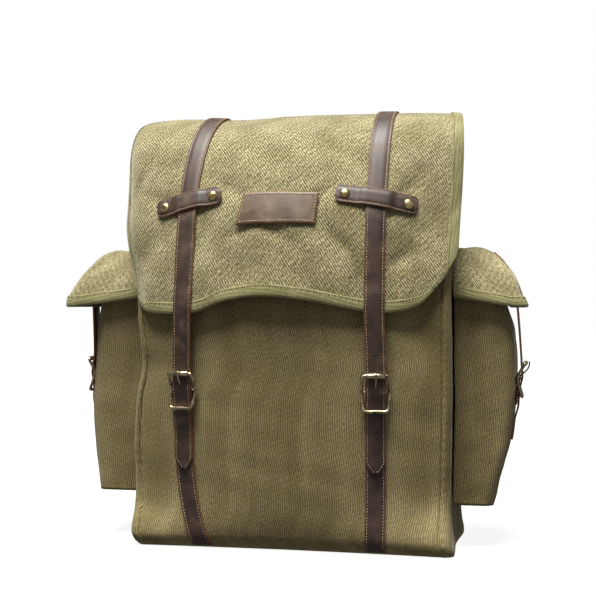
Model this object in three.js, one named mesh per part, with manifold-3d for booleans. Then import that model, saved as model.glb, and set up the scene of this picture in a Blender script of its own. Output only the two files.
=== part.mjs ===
// A canvas daypack: a hollow sewn sack with a lid flap, two flapped side pockets,
// leather closure straps with roller buckles, and plain shoulder straps behind.
// Millimetres, +Z up, the front faces -Y, and the origin is the middle of the flat base.
import * as THREE from "three";
import { mergeVertices } from "three/addons/utils/BufferGeometryUtils.js";
import Module from "manifold-3d";

const wasm = await Module();
wasm.setup();

// Driving sizes of the sack
const BODY_HEIGHT = 402; // floor to mouth
const BODY_WIDTH = 334;
const FRONT_DEPTH = 101; // middle plane to the front's crown
const BACK_DEPTH = 72;
const FRONT_CROWN = 480; // radius of the front's bulge across
const BACK_CROWN = 1500;
const FOOT_CROWN = 9000; // the front is nearly straight where it stands
const FOOT_LEVEL = 0.2; // of the height, where the front has its full bulge
const CORNER_RADIUS = 9;
const SIDE_SLACK = 3;
const CANVAS = 2; // wall of every cloth piece
const SEAM_GAP = 0.5; // between two pieces sewn edge to edge
const REST = 0.4; // between two pieces that lie on each other
const TAPE_REST = 1.3; // between a binding tape and its cloth
const BODY_FOLD = 6; // depth of the deepest fold in the sack

// Driving sizes of the lid flap
const LID_RISE = 38.5; // top of the lid over the mouth
const LID_STANDOFF = 8; // lid's face over the sack's front
const LID_LEFT = 184; // the cut cloth, from its middle to the edge that hangs round the side
const LID_RIGHT = 182;
const LID_SHIFT = -3; // the lid hangs a little to the left
const LID_TOP_CROWN = 2600;
const LID_LEAN = 0.022; // the top rises to the right by this share
const LID_SHOULDER = 6; // and its left end stands up from that line by this much
const HEM_LEVEL = 0.585; // of the sack's height, where the straps press the hem down
const HEM_WAVE = 64; // how far the hem climbs at the lid's right edge
const LID_FOLD = 8;
const TAPE_WIDTH = 10.5;
const TAPE = 0.9; // thickness of the binding tape

// Driving sizes of the straps and their buckles
const LEATHER = 1.8;
const STRAP_WIDTH = 20;
const STRAP_PLACE = 95.5; // from the middle to each front strap
const STRAP_TIP_LEVEL = 78;
const TIP_LENGTH = 11;
const BAR_LEVEL = 157; // height of a front buckle's centre bar
const FOLD_BACK = 26; // length of strap folded back behind the bar
const HOLE_SPACING = 25;
const HOLE_RADIUS = 1.6;
const TOP_HOLE = 31; // first hole over the centre bar
const WIRE_RADIUS = 1.3;
const BAR_RADIUS = 1.2;
const BUCKLE_UP = 16; // centre bar to the roller
const BUCKLE_DOWN = 18; // centre bar to the lower bar
const ROLLER_RADIUS = 2.4;
const PRONG_RADIUS = 0.9;
const METAL_GAP = 0.4;
const STRAP_SIDE_GAP = 1.4; // between a strap's edge and the buckle's wire
const SLOT_LENGTH = 16; // slot in the strap for the prong's eye
const STRAP_FOOT = 4; // floor to a front strap's lower end
const DRIFT_LEVEL = 100; // below this height a front strap strays aside

// Driving sizes of keepers, rivets and patch
const KEEPER_WIDTH = 19;
const KEEPER_CORNER = 6;
const RIVET_RADIUS = 4.6;
const RIVET_HEIGHT = 2.6;
const RIVET_INSET = 9;
const PATCH_WIDTH = 79;
const PATCH_HEIGHT = 33;
const PATCH_UP = 86; // hem's line to patch, along the lid
const PATCH_LEAN = 6; // the patch's top lies this far to the right of its foot

// Driving sizes of the side pockets and their flaps
const POCKET_OUT = 227; // the sack's middle plane to a pocket's outer wall
const POCKET_TOP = 260;
const POCKET_FRONT = -38;
const POCKET_BACK = 56;
const POCKET_CORNER = 11;
const FLAP_REACH = 80; // out from the sack's side
const FLAP_RISE = 60; // hem to ridge
const FLAP_OVERLAP = 20; // how far the flap's hem hangs below the pocket's top
const FLAP_FRONT = -47;
const FLAP_BACK = 63;
const FLAP_FRONT_LEAN = 30; // the front wing leans back by this much at the ridge
const FLAP_BACK_LEAN = 18;
const FLAP_CORNER = 12;
const POCKET_STRAP_WIDTH = 18;
const POCKET_BAR_LEVEL = 166;
const POCKET_TIP_LEVEL = 104;
const POCKET_TAB = 30; // length of the buckle's own tab

// Driving sizes of what is worn on the back
const SHOULDER_WIDTH = 42;
const SHOULDER_THICKNESS = 4;
const SHOULDER_TOP_PLACE = 46;
const SHOULDER_LOW_PLACE = 132;
const SHOULDER_TOP_LEVEL = 0.84; // of the sack's height
const SHOULDER_LOW_LEVEL = 0.07;
const SHOULDER_BOW = 58; // how far the straps stand off the back
const HANDLE_SPAN = 110;
const HANDLE_WIDTH = 24;
const HANDLE_BOW = 30;
const HANDLE_LEVEL = 0.9;
const ANCHOR_WIDTH = 26;
const ANCHOR_HEIGHT = 20;

// Shares of the sack's sizes at each level: half widths, front and back depth
const SECTIONS = [
  { level: 0.0, left: 0.882, right: 1.02, front: 0.835, back: 0.9 },
  { level: 0.012, left: 0.902, right: 1.018, front: 0.88, back: 0.945 },
  { level: 0.035, left: 0.917, right: 1.006, front: 0.93, back: 0.985 },
  { level: 0.09, left: 0.922, right: 0.993, front: 0.97, back: 1.0 },
  { level: 0.16, left: 0.928, right: 0.99, front: 0.99, back: 1.0 },
  { level: 0.27, left: 0.934, right: 0.996, front: 1.0, back: 1.0 },
  { level: 0.37, left: 0.918, right: 1.0, front: 1.0, back: 1.0 },
  { level: 0.455, left: 0.898, right: 0.995, front: 0.994, back: 1.0 },
  { level: 0.54, left: 0.895, right: 0.995, front: 0.985, back: 0.995 },
  { level: 0.62, left: 0.9, right: 0.993, front: 0.97, back: 0.988 },
  { level: 0.72, left: 0.92, right: 0.985, front: 0.925, back: 0.975 },
  { level: 0.83, left: 0.94, right: 0.97, front: 0.82, back: 0.94 },
  { level: 0.92, left: 0.935, right: 0.95, front: 0.67, back: 0.9 },
  { level: 1.0, left: 0.93, right: 0.935, front: 0.52, back: 0.86 },
];

// The lid's side view from hem to back seam: depth is a share of the front depth (negative)
// or back depth, level a share of the sack's height and rise a share of the lid's rise
const LID_PROFILE = [
  { step: 0, depth: -0.985, level: HEM_LEVEL, rise: 0 },
  { step: 1, depth: -0.97, level: 0.67, rise: 0 },
  { step: 2, depth: -0.925, level: 0.755, rise: 0 },
  { step: 3, depth: -0.84, level: 0.84, rise: 0 },
  { step: 4, depth: -0.69, level: 0.915, rise: 0.1 },
  { step: 5, depth: -0.48, level: 0.96, rise: 0.5 },
  { step: 6, depth: -0.22, level: 0.985, rise: 0.88 },
  { step: 7, depth: 0.1, level: 1.0, rise: 1.0 },
  { step: 8, depth: 0.48, level: 1.0, rise: 0.86 },
  { step: 9, depth: 0.84, level: 0.99, rise: 0.5 },
  { step: 10, depth: 0.94, level: 0.965, rise: 0.0 },
];

// The lid's cut edges: left and right are shares of LID_LEFT and LID_RIGHT at shares of its
// length from the hem
const LID_CUT = [
  { along: 0.0, left: 0.86, right: 0.972 },
  { along: 0.1, left: 0.88, right: 0.985 },
  { along: 0.2, left: 0.925, right: 0.992 },
  { along: 0.3, left: 0.97, right: 0.998 },
  { along: 0.4, left: 0.99, right: 1.0 },
  { along: 0.55, left: 1.0, right: 0.99 },
  { along: 0.75, left: 0.97, right: 0.95 },
  { along: 1.0, left: 0.86, right: 0.87 },
];

// How far the hem climbs over its lowest line: across is a share of the lid's left or right
const HEM = [
  { across: -1.0, climb: 0.55 },
  { across: -0.95, climb: 0.24 },
  { across: -0.88, climb: 0.03 },
  { across: -0.72, climb: -0.02 },
  { across: -0.5, climb: 0.0 },
  { across: -0.3, climb: 0.17 },
  { across: -0.07, climb: 0.24 },
  { across: 0.2, climb: 0.17 },
  { across: 0.5, climb: 0.02 },
  { across: 0.68, climb: 0.01 },
  { across: 0.82, climb: 0.15 },
  { across: 0.92, climb: 0.5 },
  { across: 0.97, climb: 0.77 },
  { across: 1.0, climb: 1.0 },
];

// Folds pressed into the lid: across and along are shares of half the width and of the length
// from the hem, long and wide are shares of half the width, and depth is a share of LID_FOLD
const LID_FOLDS = [
  { across: 0.8, along: 0.19, long: 0.3, wide: 0.14, turn: 62, depth: 0.62 },
  { across: -0.2, along: 0.13, long: 0.26, wide: 0.08, turn: 98, depth: 0.6 },
  { across: -0.39, along: 0.25, long: 0.2, wide: 0.07, turn: 70, depth: 0.5 },
  { across: -0.76, along: 0.17, long: 0.28, wide: 0.11, turn: 55, depth: 0.6 },
  { across: 0.3, along: 0.2, long: 0.3, wide: 0.08, turn: 118, depth: 0.4 },
  { across: -0.08, along: 0.0, long: 0.2, wide: 0.34, turn: 90, depth: -0.85 },
];

// Folds in the sack's front: across is a share of the half width, along of the height
const BODY_FOLDS = [
  { across: -0.9, along: 0.44, long: 0.22, wide: 0.09, turn: 8, depth: 0.9 },
  { across: -0.86, along: 0.1, long: 0.2, wide: 0.06, turn: -6, depth: 0.6 },
  { across: 0.83, along: 0.53, long: 0.26, wide: 0.1, turn: 120, depth: 0.6 },
  { across: 0.84, along: 0.1, long: 0.24, wide: 0.07, turn: 40, depth: 0.45 },
  { across: 0.05, along: 0.3, long: 0.5, wide: 0.16, turn: 90, depth: 0.3 },
];

// What differs between the two sides. Heights and angles are as on the real pack: keeperUp is
// from the hem to the keeper along the lid, strapLean and strapDrift are how far a closure
// strap strays to the right on top of the lid and at the foot, pocketBulge is how far the
// middle of the pocket's outer wall stands out, flapPull how far its strap draws the flap's hem
// in, and flapDip how much lower the flap's back wing meets the sack, as a share of its rise
const SIDES = [
  {
    name: "left", side: -1, keeperLength: 71, keeperTilt: 9, keeperUp: 115, strapLean: 8,
    strapDrift: 19, pocketBottom: 46, pocketBulge: 12, flapPull: 19, flapDip: 0.03,
  },
  {
    name: "right", side: 1, keeperLength: 80, keeperTilt: 5, keeperUp: 115, strapLean: 0,
    strapDrift: 0, pocketBottom: 42, pocketBulge: -1, flapPull: 16, flapDip: 0.3,
  },
];

// A pocket's outer wall from foot to top, as shares of POCKET_OUT
const POCKET_FORM = [
  { level: 0.0, left: 0.918, right: 0.904 },
  { level: 0.08, left: 0.924, right: 0.921 },
  { level: 0.24, left: 0.934, right: 0.964 },
  { level: 0.42, left: 0.935, right: 0.991 },
  { level: 0.65, left: 0.928, right: 0.998 },
  { level: 0.8, left: 0.922, right: 0.988 },
  { level: 0.9, left: 0.914, right: 0.958 },
  { level: 1.0, left: 0.904, right: 0.936 },
];

// A pocket flap from hem to body seam: shares of its reach for each side, and of its rise
const FLAP_FORM = [
  { step: 0.0, left: 1.12, right: 0.895, up: 0.0 },
  { step: 0.12, left: 1.065, right: 0.845, up: 0.17 },
  { step: 0.26, left: 0.975, right: 0.795, up: 0.38 },
  { step: 0.4, left: 0.88, right: 0.72, up: 0.58 },
  { step: 0.54, left: 0.77, right: 0.615, up: 0.76 },
  { step: 0.68, left: 0.65, right: 0.475, up: 0.91 },
  { step: 0.82, left: 0.52, right: 0.3, up: 1.0 },
  { step: 0.92, left: 0.29, right: 0.13, up: 0.97 },
  { step: 1.0, left: 0.0, right: 0.0, up: 0.88 },
];
const FLAP_ROOT_CLIMB = 0.16; // the hem climbs towards the sack, as a share of the rise
const FLAP_FRONT_DIP = 0.32; // the front wing meets the sack this much lower

// Materials
const canvas = new THREE.MeshStandardMaterial({ color: 0x857848, roughness: 0.92 });
const canvasShade = new THREE.MeshStandardMaterial({ color: 0x7b6e45, roughness: 0.92 });
const tape = new THREE.MeshStandardMaterial({ color: 0x76764c, roughness: 0.9 });
const leather = new THREE.MeshStandardMaterial({ color: 0x4a3a30, roughness: 0.5 });
const brass = new THREE.MeshStandardMaterial({ color: 0xb59a5f, roughness: 0.3, metalness: 1 });

const daypack = new THREE.Group();

// Adds one named piece.
function piece(name, geometry, material) {
  const mesh = new THREE.Mesh(geometry, material);
  mesh.name = name;
  daypack.add(mesh);
}

// Numbers and curves

const clamp = (x, low, high) => Math.min(high, Math.max(low, x));
const radians = THREE.MathUtils.degToRad;
const smooth = (x) => THREE.MathUtils.smoothstep(x, 0, 1);

// count + 1 evenly spaced values.
function steps(from, to, count) {
  return Array.from({ length: count + 1 }, (_, i) => from + ((to - from) * i) / count);
}

// A smooth curve through one column of a table, straight on past both ends.
function through(rows, at, column) {
  const last = rows.length - 1;
  const slope = (i) => {
    const [before, after] = [rows[Math.max(i - 1, 0)], rows[Math.min(i + 1, last)]];
    return (after[column] - before[column]) / (after[at] - before[at]);
  };
  return (x) => {
    if (x <= rows[0][at]) return rows[0][column] + slope(0) * (x - rows[0][at]);
    if (x >= rows[last][at]) return rows[last][column] + slope(last) * (x - rows[last][at]);
    const i = rows.findIndex((row) => row[at] > x) - 1;
    const span = rows[i + 1][at] - rows[i][at];
    const t = (x - rows[i][at]) / span;
    const rest = 1 - t;
    return (
      rows[i][column] * (1 + 2 * t) * rest * rest +
      slope(i) * span * t * rest * rest +
      rows[i + 1][column] * t * t * (3 - 2 * t) -
      slope(i + 1) * span * t * t * rest
    );
  };
}

// The sum of a table's folds at a place, each an ellipse that fades out from its middle.
function folded(rows, across, along, half, length, deepest) {
  let sum = 0;
  for (const fold of rows) {
    const x = across - fold.across * half;
    const y = along - fold.along * length;
    const turn = radians(fold.turn);
    const onward = (x * Math.cos(turn) + y * Math.sin(turn)) / (fold.long * half);
    const aside = (y * Math.cos(turn) - x * Math.sin(turn)) / (fold.wide * half);
    sum += fold.depth * deepest * Math.exp(-onward * onward - aside * aside);
  }
  return sum;
}

// Closed solids

// A closed geometry from points and faces, turned to face out.
function closed(points, faces) {
  const volume = faces.reduce((sum, [a, b, c]) => {
    const cross = new THREE.Vector3().crossVectors(points[b], points[c]);
    return sum + points[a].dot(cross);
  }, 0);
  const out = volume < 0 ? faces.map(([a, b, c]) => [a, c, b]) : faces;
  const geometry = new THREE.BufferGeometry().setFromPoints(points);
  geometry.setIndex(out.flat());
  return geometry;
}

// The outward unit normal of a surface, where its two directions are right-handed.
function normalOf(surface, u, v, stepU, stepV) {
  const alongU = surface(u + stepU, v).sub(surface(u - stepU, v));
  const alongV = surface(u, v + stepV).sub(surface(u, v - stepV));
  return alongU.cross(alongV).normalize();
}

// A sheet of even thickness on a surface, its lower face lift above it.
function sheet(surface, us, vs, { thickness, lift, out = 1, stepU = 1e-3, stepV = 1e-3 }) {
  const points = [];
  for (const height of [lift + thickness, lift])
    for (const v of vs)
      for (const u of us) {
        const normal = normalOf(surface, u, v, stepU, stepV).multiplyScalar(out);
        points.push(surface(u, v).addScaledVector(normal, height));
      }
  const [across, along] = [us.length, vs.length];
  const under = across * along;
  const faces = [];
  const quad = (a, b, c, d) => faces.push([a, b, c], [a, c, d]);
  for (let j = 0; j < along - 1; j++)
    for (let i = 0; i < across - 1; i++) {
      const a = j * across + i;
      quad(a, a + 1, a + across + 1, a + across);
      quad(under + a, under + a + across, under + a + across + 1, under + a + 1);
    }
  for (let i = 0; i < across - 1; i++) {
    const top = (along - 1) * across + i;
    quad(i + 1, i, under + i, under + i + 1);
    quad(top, top + 1, under + top + 1, under + top);
  }
  for (let j = 0; j < along - 1; j++) {
    const [near, far] = [j * across, j * across + across - 1];
    quad(near, near + across, under + near + across, under + near);
    quad(far + across, far, under + far, under + far + across);
  }
  return closed(points, faces);
}

// Joins rings of points, one after the other, and closes both ends.
function joinRings(rings) {
  const size = rings[0].length;
  const faces = [];
  for (let j = 0; j < rings.length - 1; j++)
    for (let i = 0; i < size; i++) {
      const [a, b] = [j * size + i, j * size + ((i + 1) % size)];
      faces.push([a, b, b + size], [a, b + size, a + size]);
    }
  const last = (rings.length - 1) * size;
  const flat = (ring) => {
    const middle = ring[0].clone();
    const side = ring[ring.length - 1].clone().sub(middle).normalize();
    const other = ring[1].clone().sub(middle);
    const up = other.addScaledVector(side, -other.dot(side)).normalize();
    return ring.map((p) => {
      const from = p.clone().sub(middle);
      return new THREE.Vector2(from.dot(up), from.dot(side));
    });
  };
  for (const [a, b, c] of THREE.ShapeUtils.triangulateShape(flat(rings[0]), []))
    faces.push([a, c, b]);
  for (const [a, b, c] of THREE.ShapeUtils.triangulateShape(flat(rings.at(-1)), []))
    faces.push([last + a, last + b, last + c]);
  return closed(rings.flat(), faces);
}

// A flat strap through stations, each with a point on its middle and a direction across.
function ribbon(stations, widthAt, thickness) {
  const rings = stations.map(({ point, across }, i) => {
    const before = stations[Math.max(i - 1, 0)].point;
    const after = stations[Math.min(i + 1, stations.length - 1)].point;
    const along = after.clone().sub(before).normalize();
    const aside = across.clone().addScaledVector(along, -across.dot(along)).normalize();
    const normal = aside.clone().cross(along);
    const half = widthAt(i) / 2;
    return [[-1, -1], [1, -1], [1, 1], [-1, 1]].map(([side, face]) =>
      point
        .clone()
        .addScaledVector(aside, side * half)
        .addScaledVector(normal, (face * thickness) / 2),
    );
  });
  return joinRings(rings);
}

// Solids of manifold-3d, for cuts and joins

function solidOf(geometry) {
  const bare = new THREE.BufferGeometry();
  bare.setAttribute("position", geometry.getAttribute("position"));
  if (geometry.index) bare.setIndex(geometry.index);
  const merged = mergeVertices(bare, 1e-4);
  return new wasm.Manifold(
    new wasm.Mesh({
      numProp: 3,
      vertProperties: new Float32Array(merged.attributes.position.array),
      triVerts: new Uint32Array(merged.index.array),
    }),
  );
}

function geometryOf(solid) {
  const { vertProperties, triVerts } = solid.getMesh();
  const geometry = new THREE.BufferGeometry();
  geometry.setAttribute("position", new THREE.BufferAttribute(vertProperties, 3));
  return geometry.setIndex(new THREE.BufferAttribute(triVerts, 1));
}

const cut = (geometry, tools) =>
  geometryOf(tools.reduce((left, tool) => left.subtract(solidOf(tool)), solidOf(geometry)));
const join = (geometries) =>
  geometryOf(geometries.map(solidOf).reduce((all, next) => all.add(next)));

// Sack

const sectionCurves = Object.fromEntries(
  ["left", "right", "front", "back"].map((key) => [key, through(SECTIONS, "level", key)]),
);

// Radius of the front's bulge: its inverse, the curvature, fades to the foot's.
const frontCrown = (level) => {
  const foot = (1 - smooth(level / FOOT_LEVEL)) ** 2;
  return 1 / ((1 - foot) / FRONT_CROWN + foot / FOOT_CROWN);
};

// A point of the sack's outer face. place runs from the front's middle (0) through the front
// seam (1), corner (2), side (3) and back corner (4) to the back's middle (5), and is negative
// on the left.
function bodyPoint(place, z) {
  const left = place < 0;
  const k = Math.abs(place);
  const level = clamp(z / BODY_HEIGHT, 0, 1);
  const half = (BODY_WIDTH / 2) * sectionCurves[left ? "left" : "right"](level);
  const front = FRONT_DEPTH * sectionCurves.front(level);
  const back = BACK_DEPTH * sectionCurves.back(level);
  const inner = half - CORNER_RADIUS;
  const crown = frontCrown(level);
  const frontTurn = Math.asin(inner / (crown - CORNER_RADIUS));
  const backTurn = Math.asin(inner / (BACK_CROWN - CORNER_RADIUS));
  const frontCorner = crown - front - (crown - CORNER_RADIUS) * Math.cos(frontTurn);
  const backCorner = back - BACK_CROWN + (BACK_CROWN - CORNER_RADIUS) * Math.cos(backTurn);
  let [x, y] = [0, 0];
  if (k <= 1) {
    const turn = k * frontTurn;
    x = crown * Math.sin(turn);
    y = crown * (1 - Math.cos(turn)) - front;
  } else if (k <= 2) {
    const turn = frontTurn + (k - 1) * (Math.PI / 2 - frontTurn);
    x = inner + CORNER_RADIUS * Math.sin(turn);
    y = frontCorner - CORNER_RADIUS * Math.cos(turn);
  } else if (k <= 3) {
    x = half - SIDE_SLACK * Math.sin((k - 2) * Math.PI) ** 2;
    y = frontCorner + (k - 2) * (backCorner - frontCorner);
  } else if (k <= 4) {
    const turn = (k - 3) * (Math.PI / 2 - backTurn);
    x = inner + CORNER_RADIUS * Math.cos(turn);
    y = backCorner + CORNER_RADIUS * Math.sin(turn);
  } else {
    const turn = (5 - k) * backTurn;
    x = BACK_CROWN * Math.sin(turn);
    y = back - BACK_CROWN * (1 - Math.cos(turn));
  }
  const signed = left ? -x : x;
  const fold = folded(BODY_FOLDS, signed, z, BODY_WIDTH / 2, BODY_HEIGHT, BODY_FOLD);
  const onFront = 1 - smooth((k - 1.2) / 0.8);
  return new THREE.Vector3(signed, y + fold * onFront, z);
}

// The place on the front panel that lies x from the middle.
function frontPlace(x, z) {
  const level = clamp(z / BODY_HEIGHT, 0, 1);
  const half = (BODY_WIDTH / 2) * sectionCurves[x < 0 ? "left" : "right"](level);
  const crown = frontCrown(level);
  return Math.asin(x / crown) / Math.asin((half - CORNER_RADIUS) / (crown - CORNER_RADIUS));
}

// Height rows, closer together at the rounded foot.
const bodyRows = [0, 0.012, 0.03, 0.06, 0.1, 0.14, ...steps(0.185, 1, 10)].map(
  (level) => level * BODY_HEIGHT,
);
const wall = { thickness: CANVAS, lift: -CANVAS, stepU: 1e-3, stepV: 0.05 };
const seam = SEAM_GAP / 2 / BODY_WIDTH;

piece("front_panel", sheet(bodyPoint, steps(-1 + seam, 1 - seam, 14), bodyRows, wall), canvas);
piece(
  "back_panel",
  sheet((u, z) => bodyPoint(u > 0 ? 5 - u : -5 - u, z), steps(-1 + seam, 1 - seam, 6), bodyRows, {
    ...wall,
    out: -1,
  }),
  canvasShade,
);
const gussetPlaces = [
  ...steps(1 + SEAM_GAP / CORNER_RADIUS, 2, 2),
  ...steps(2, 3, 3).slice(1),
  ...steps(3, 4 - SEAM_GAP / CORNER_RADIUS, 2).slice(1),
];
piece("gusset_right", sheet(bodyPoint, gussetPlaces, bodyRows, wall), canvasShade);
piece(
  "gusset_left",
  sheet(bodyPoint, gussetPlaces.map((k) => -k).reverse(), bodyRows, wall),
  canvasShade,
);

// Base: a flat plate inside the foot of the walls.
function basePlate() {
  const outline = [
    ...steps(-1, 1, 14),
    ...gussetPlaces,
    ...steps(4, 6, 6).map((k) => (k > 5 ? k - 10 : k)),
    ...gussetPlaces.map((k) => -k).reverse(),
  ];
  const inset = CANVAS + REST;
  const loop = [];
  for (const k of outline) {
    const normal = normalOf(bodyPoint, k, 0.05, 1e-3, 0.05).setZ(0).normalize();
    const point = bodyPoint(k, 0).addScaledVector(normal, -inset);
    const corner = new THREE.Vector2(point.x, point.y);
    if (!loop.length || corner.distanceTo(loop.at(-1)) > inset) loop.push(corner);
  }
  return new THREE.ExtrudeGeometry(new THREE.Shape(loop), { depth: CANVAS, bevelEnabled: false });
}
piece("base_panel", basePlate(), canvasShade);

// Lid flap

// The lid's side view, as points at even lengths from hem to back seam.
const lidSide = (() => {
  const [depth, level, rise] = ["depth", "level", "rise"].map((key) =>
    through(LID_PROFILE, "step", key),
  );
  const last = LID_PROFILE.at(-1).step;
  const dense = steps(0, last, 240).map((step) => {
    const reach = depth(step);
    const y = reach < 0 ? reach * FRONT_DEPTH - LID_STANDOFF * smooth(-2 * reach) : 0;
    const behind = reach > 0 ? reach * BACK_DEPTH + (CANVAS + REST) * smooth(2 * reach) : 0;
    return new THREE.Vector2(y + behind, level(step) * BODY_HEIGHT + rise(step) * LID_RISE);
  });
  const along = [0];
  for (let i = 1; i < dense.length; i++)
    along.push(along[i - 1] + dense[i].distanceTo(dense[i - 1]));
  return { dense, along, length: along.at(-1) };
})();
const LID_LENGTH = lidSide.length;

// The side view's point and outward normal at a length from the hem.
function lidSideAt(s) {
  const { dense, along } = lidSide;
  const inside = clamp(s, 0, LID_LENGTH);
  const next = along.findIndex((length) => length > inside);
  const i = next < 0 ? dense.length - 2 : Math.max(next - 1, 0);
  const [a, b] = [dense[i], dense[i + 1]];
  const run = (s - along[i]) / (along[i + 1] - along[i]);
  const far = [dense[Math.max(i - 3, 0)], dense[Math.min(i + 4, dense.length - 1)]];
  const onward = far[1].clone().sub(far[0]).normalize();
  return { point: a.clone().lerp(b, run), normal: new THREE.Vector2(-onward.y, onward.x) };
}

// The lid's outer face, w across the cloth and s up from the hem's line.
function lidPoint(w, s) {
  const top = smooth((s / LID_LENGTH - 0.3) / 0.45);
  const bend = (1 - top) / FRONT_CROWN + top / LID_TOP_CROWN;
  const leftTurn = radians(42 + 38 * top);
  const leftStart = 0.75 + 0.1 * top;
  const count = 24;
  let [x, drop] = [0, 0];
  for (let i = 0; i < count; i++) {
    const at = (w * (i + 0.5)) / count;
    const edge = smooth((at / LID_RIGHT - 0.84) / 0.16) * radians(8);
    const curl = smooth((-at / LID_LEFT - leftStart) / (1 - leftStart)) * leftTurn;
    const angle = at * bend + edge - curl;
    x += (Math.cos(angle) * w) / count;
    drop += (Math.sin(angle) * w) / count;
  }
  const fold = folded(LID_FOLDS, w, s, LID_RIGHT, LID_LENGTH, LID_FOLD);
  const { point, normal } = lidSideAt(s);
  const raised = LID_LEAN * w + LID_SHOULDER * smooth((-w - 50) / 90);
  const inward = drop + fold - top * raised;
  return new THREE.Vector3(x + LID_SHIFT, point.x - normal.x * inward, point.y - normal.y * inward);
}

const hemClimb = through(HEM, "across", "climb");
const hemAt = (share) => HEM_WAVE * hemClimb(clamp(share, -1, 1));
const lidCut = {
  left: through(LID_CUT, "along", "left"),
  right: through(LID_CUT, "along", "right"),
};
const lidHalf = (share, s) =>
  share < 0 ? LID_LEFT * lidCut.left(s / LID_LENGTH) : LID_RIGHT * lidCut.right(s / LID_LENGTH);

// The same face by its cut shape: share runs from edge to edge and v from hem to back seam.
function lidSheet(share, v) {
  const hem = hemAt(share);
  const s = hem + v * (LID_LENGTH - hem);
  return lidPoint(share * lidHalf(share, s), s);
}

const lidColumns = [-1, -0.95, -0.88, -0.79, -0.68, ...steps(-0.57, 0.57, 10), 0.68, 0.79, 0.87]
  .concat([0.93, 0.97, 1]);
const lidRows = steps(0, 1, 15);
const lidSteps = { stepU: 0.003, stepV: 0.002 };
piece(
  "lid",
  sheet(lidSheet, lidColumns, lidRows, {
    thickness: CANVAS,
    lift: -CANVAS,
    ...lidSteps,
  }),
  canvas,
);

// A tape folded round the edge of a sheet: at each station it lies flush over both faces.
function binding(surface, path, { stepU, stepV }) {
  const outside = TAPE_REST + TAPE;
  const rows = [
    [TAPE_WIDTH, TAPE_REST], [-TAPE_REST, TAPE_REST],
    [-TAPE_REST, -CANVAS - TAPE_REST], [TAPE_WIDTH, -CANVAS - TAPE_REST],
    [TAPE_WIDTH, -CANVAS - outside], [-outside, -CANVAS - outside],
    [-outside, outside], [TAPE_WIDTH, outside],
  ];
  const rings = path.map(({ u, v, inU, inV }) =>
    rows.map(([inset, height]) => {
      const [a, b] = [u + inU * inset, v + inV * inset];
      const normal = normalOf(surface, a, b, stepU, stepV);
      return surface(a, b).addScaledVector(normal, height);
    }),
  );
  return joinRings(rings);
}

// The lid's bound edge: down the left side, along the hem and up the right side.
function lidEdge() {
  const side = (share) => lidRows.slice(1).map((v) => [share, v]);
  const line = [...side(-1).reverse(), ...lidColumns.map((share) => [share, 0]), ...side(1)];
  const spot = ([share, v]) => {
    const s = hemAt(share) + v * (LID_LENGTH - hemAt(share));
    return new THREE.Vector2(share * lidHalf(share, s), s);
  };
  return line.map(([u, v], i) => {
    const before = spot(line[Math.max(i - 1, 0)]);
    const onward = spot(line[Math.min(i + 1, line.length - 1)]).sub(before).normalize();
    const half = lidHalf(u, spot([u, v]).y);
    return { u, v, inU: -onward.y / half, inV: onward.x / (LID_LENGTH - hemAt(u)) };
  });
}
piece("lid_binding", binding(lidSheet, lidEdge(), lidSteps), tape);

// Buckles

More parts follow.
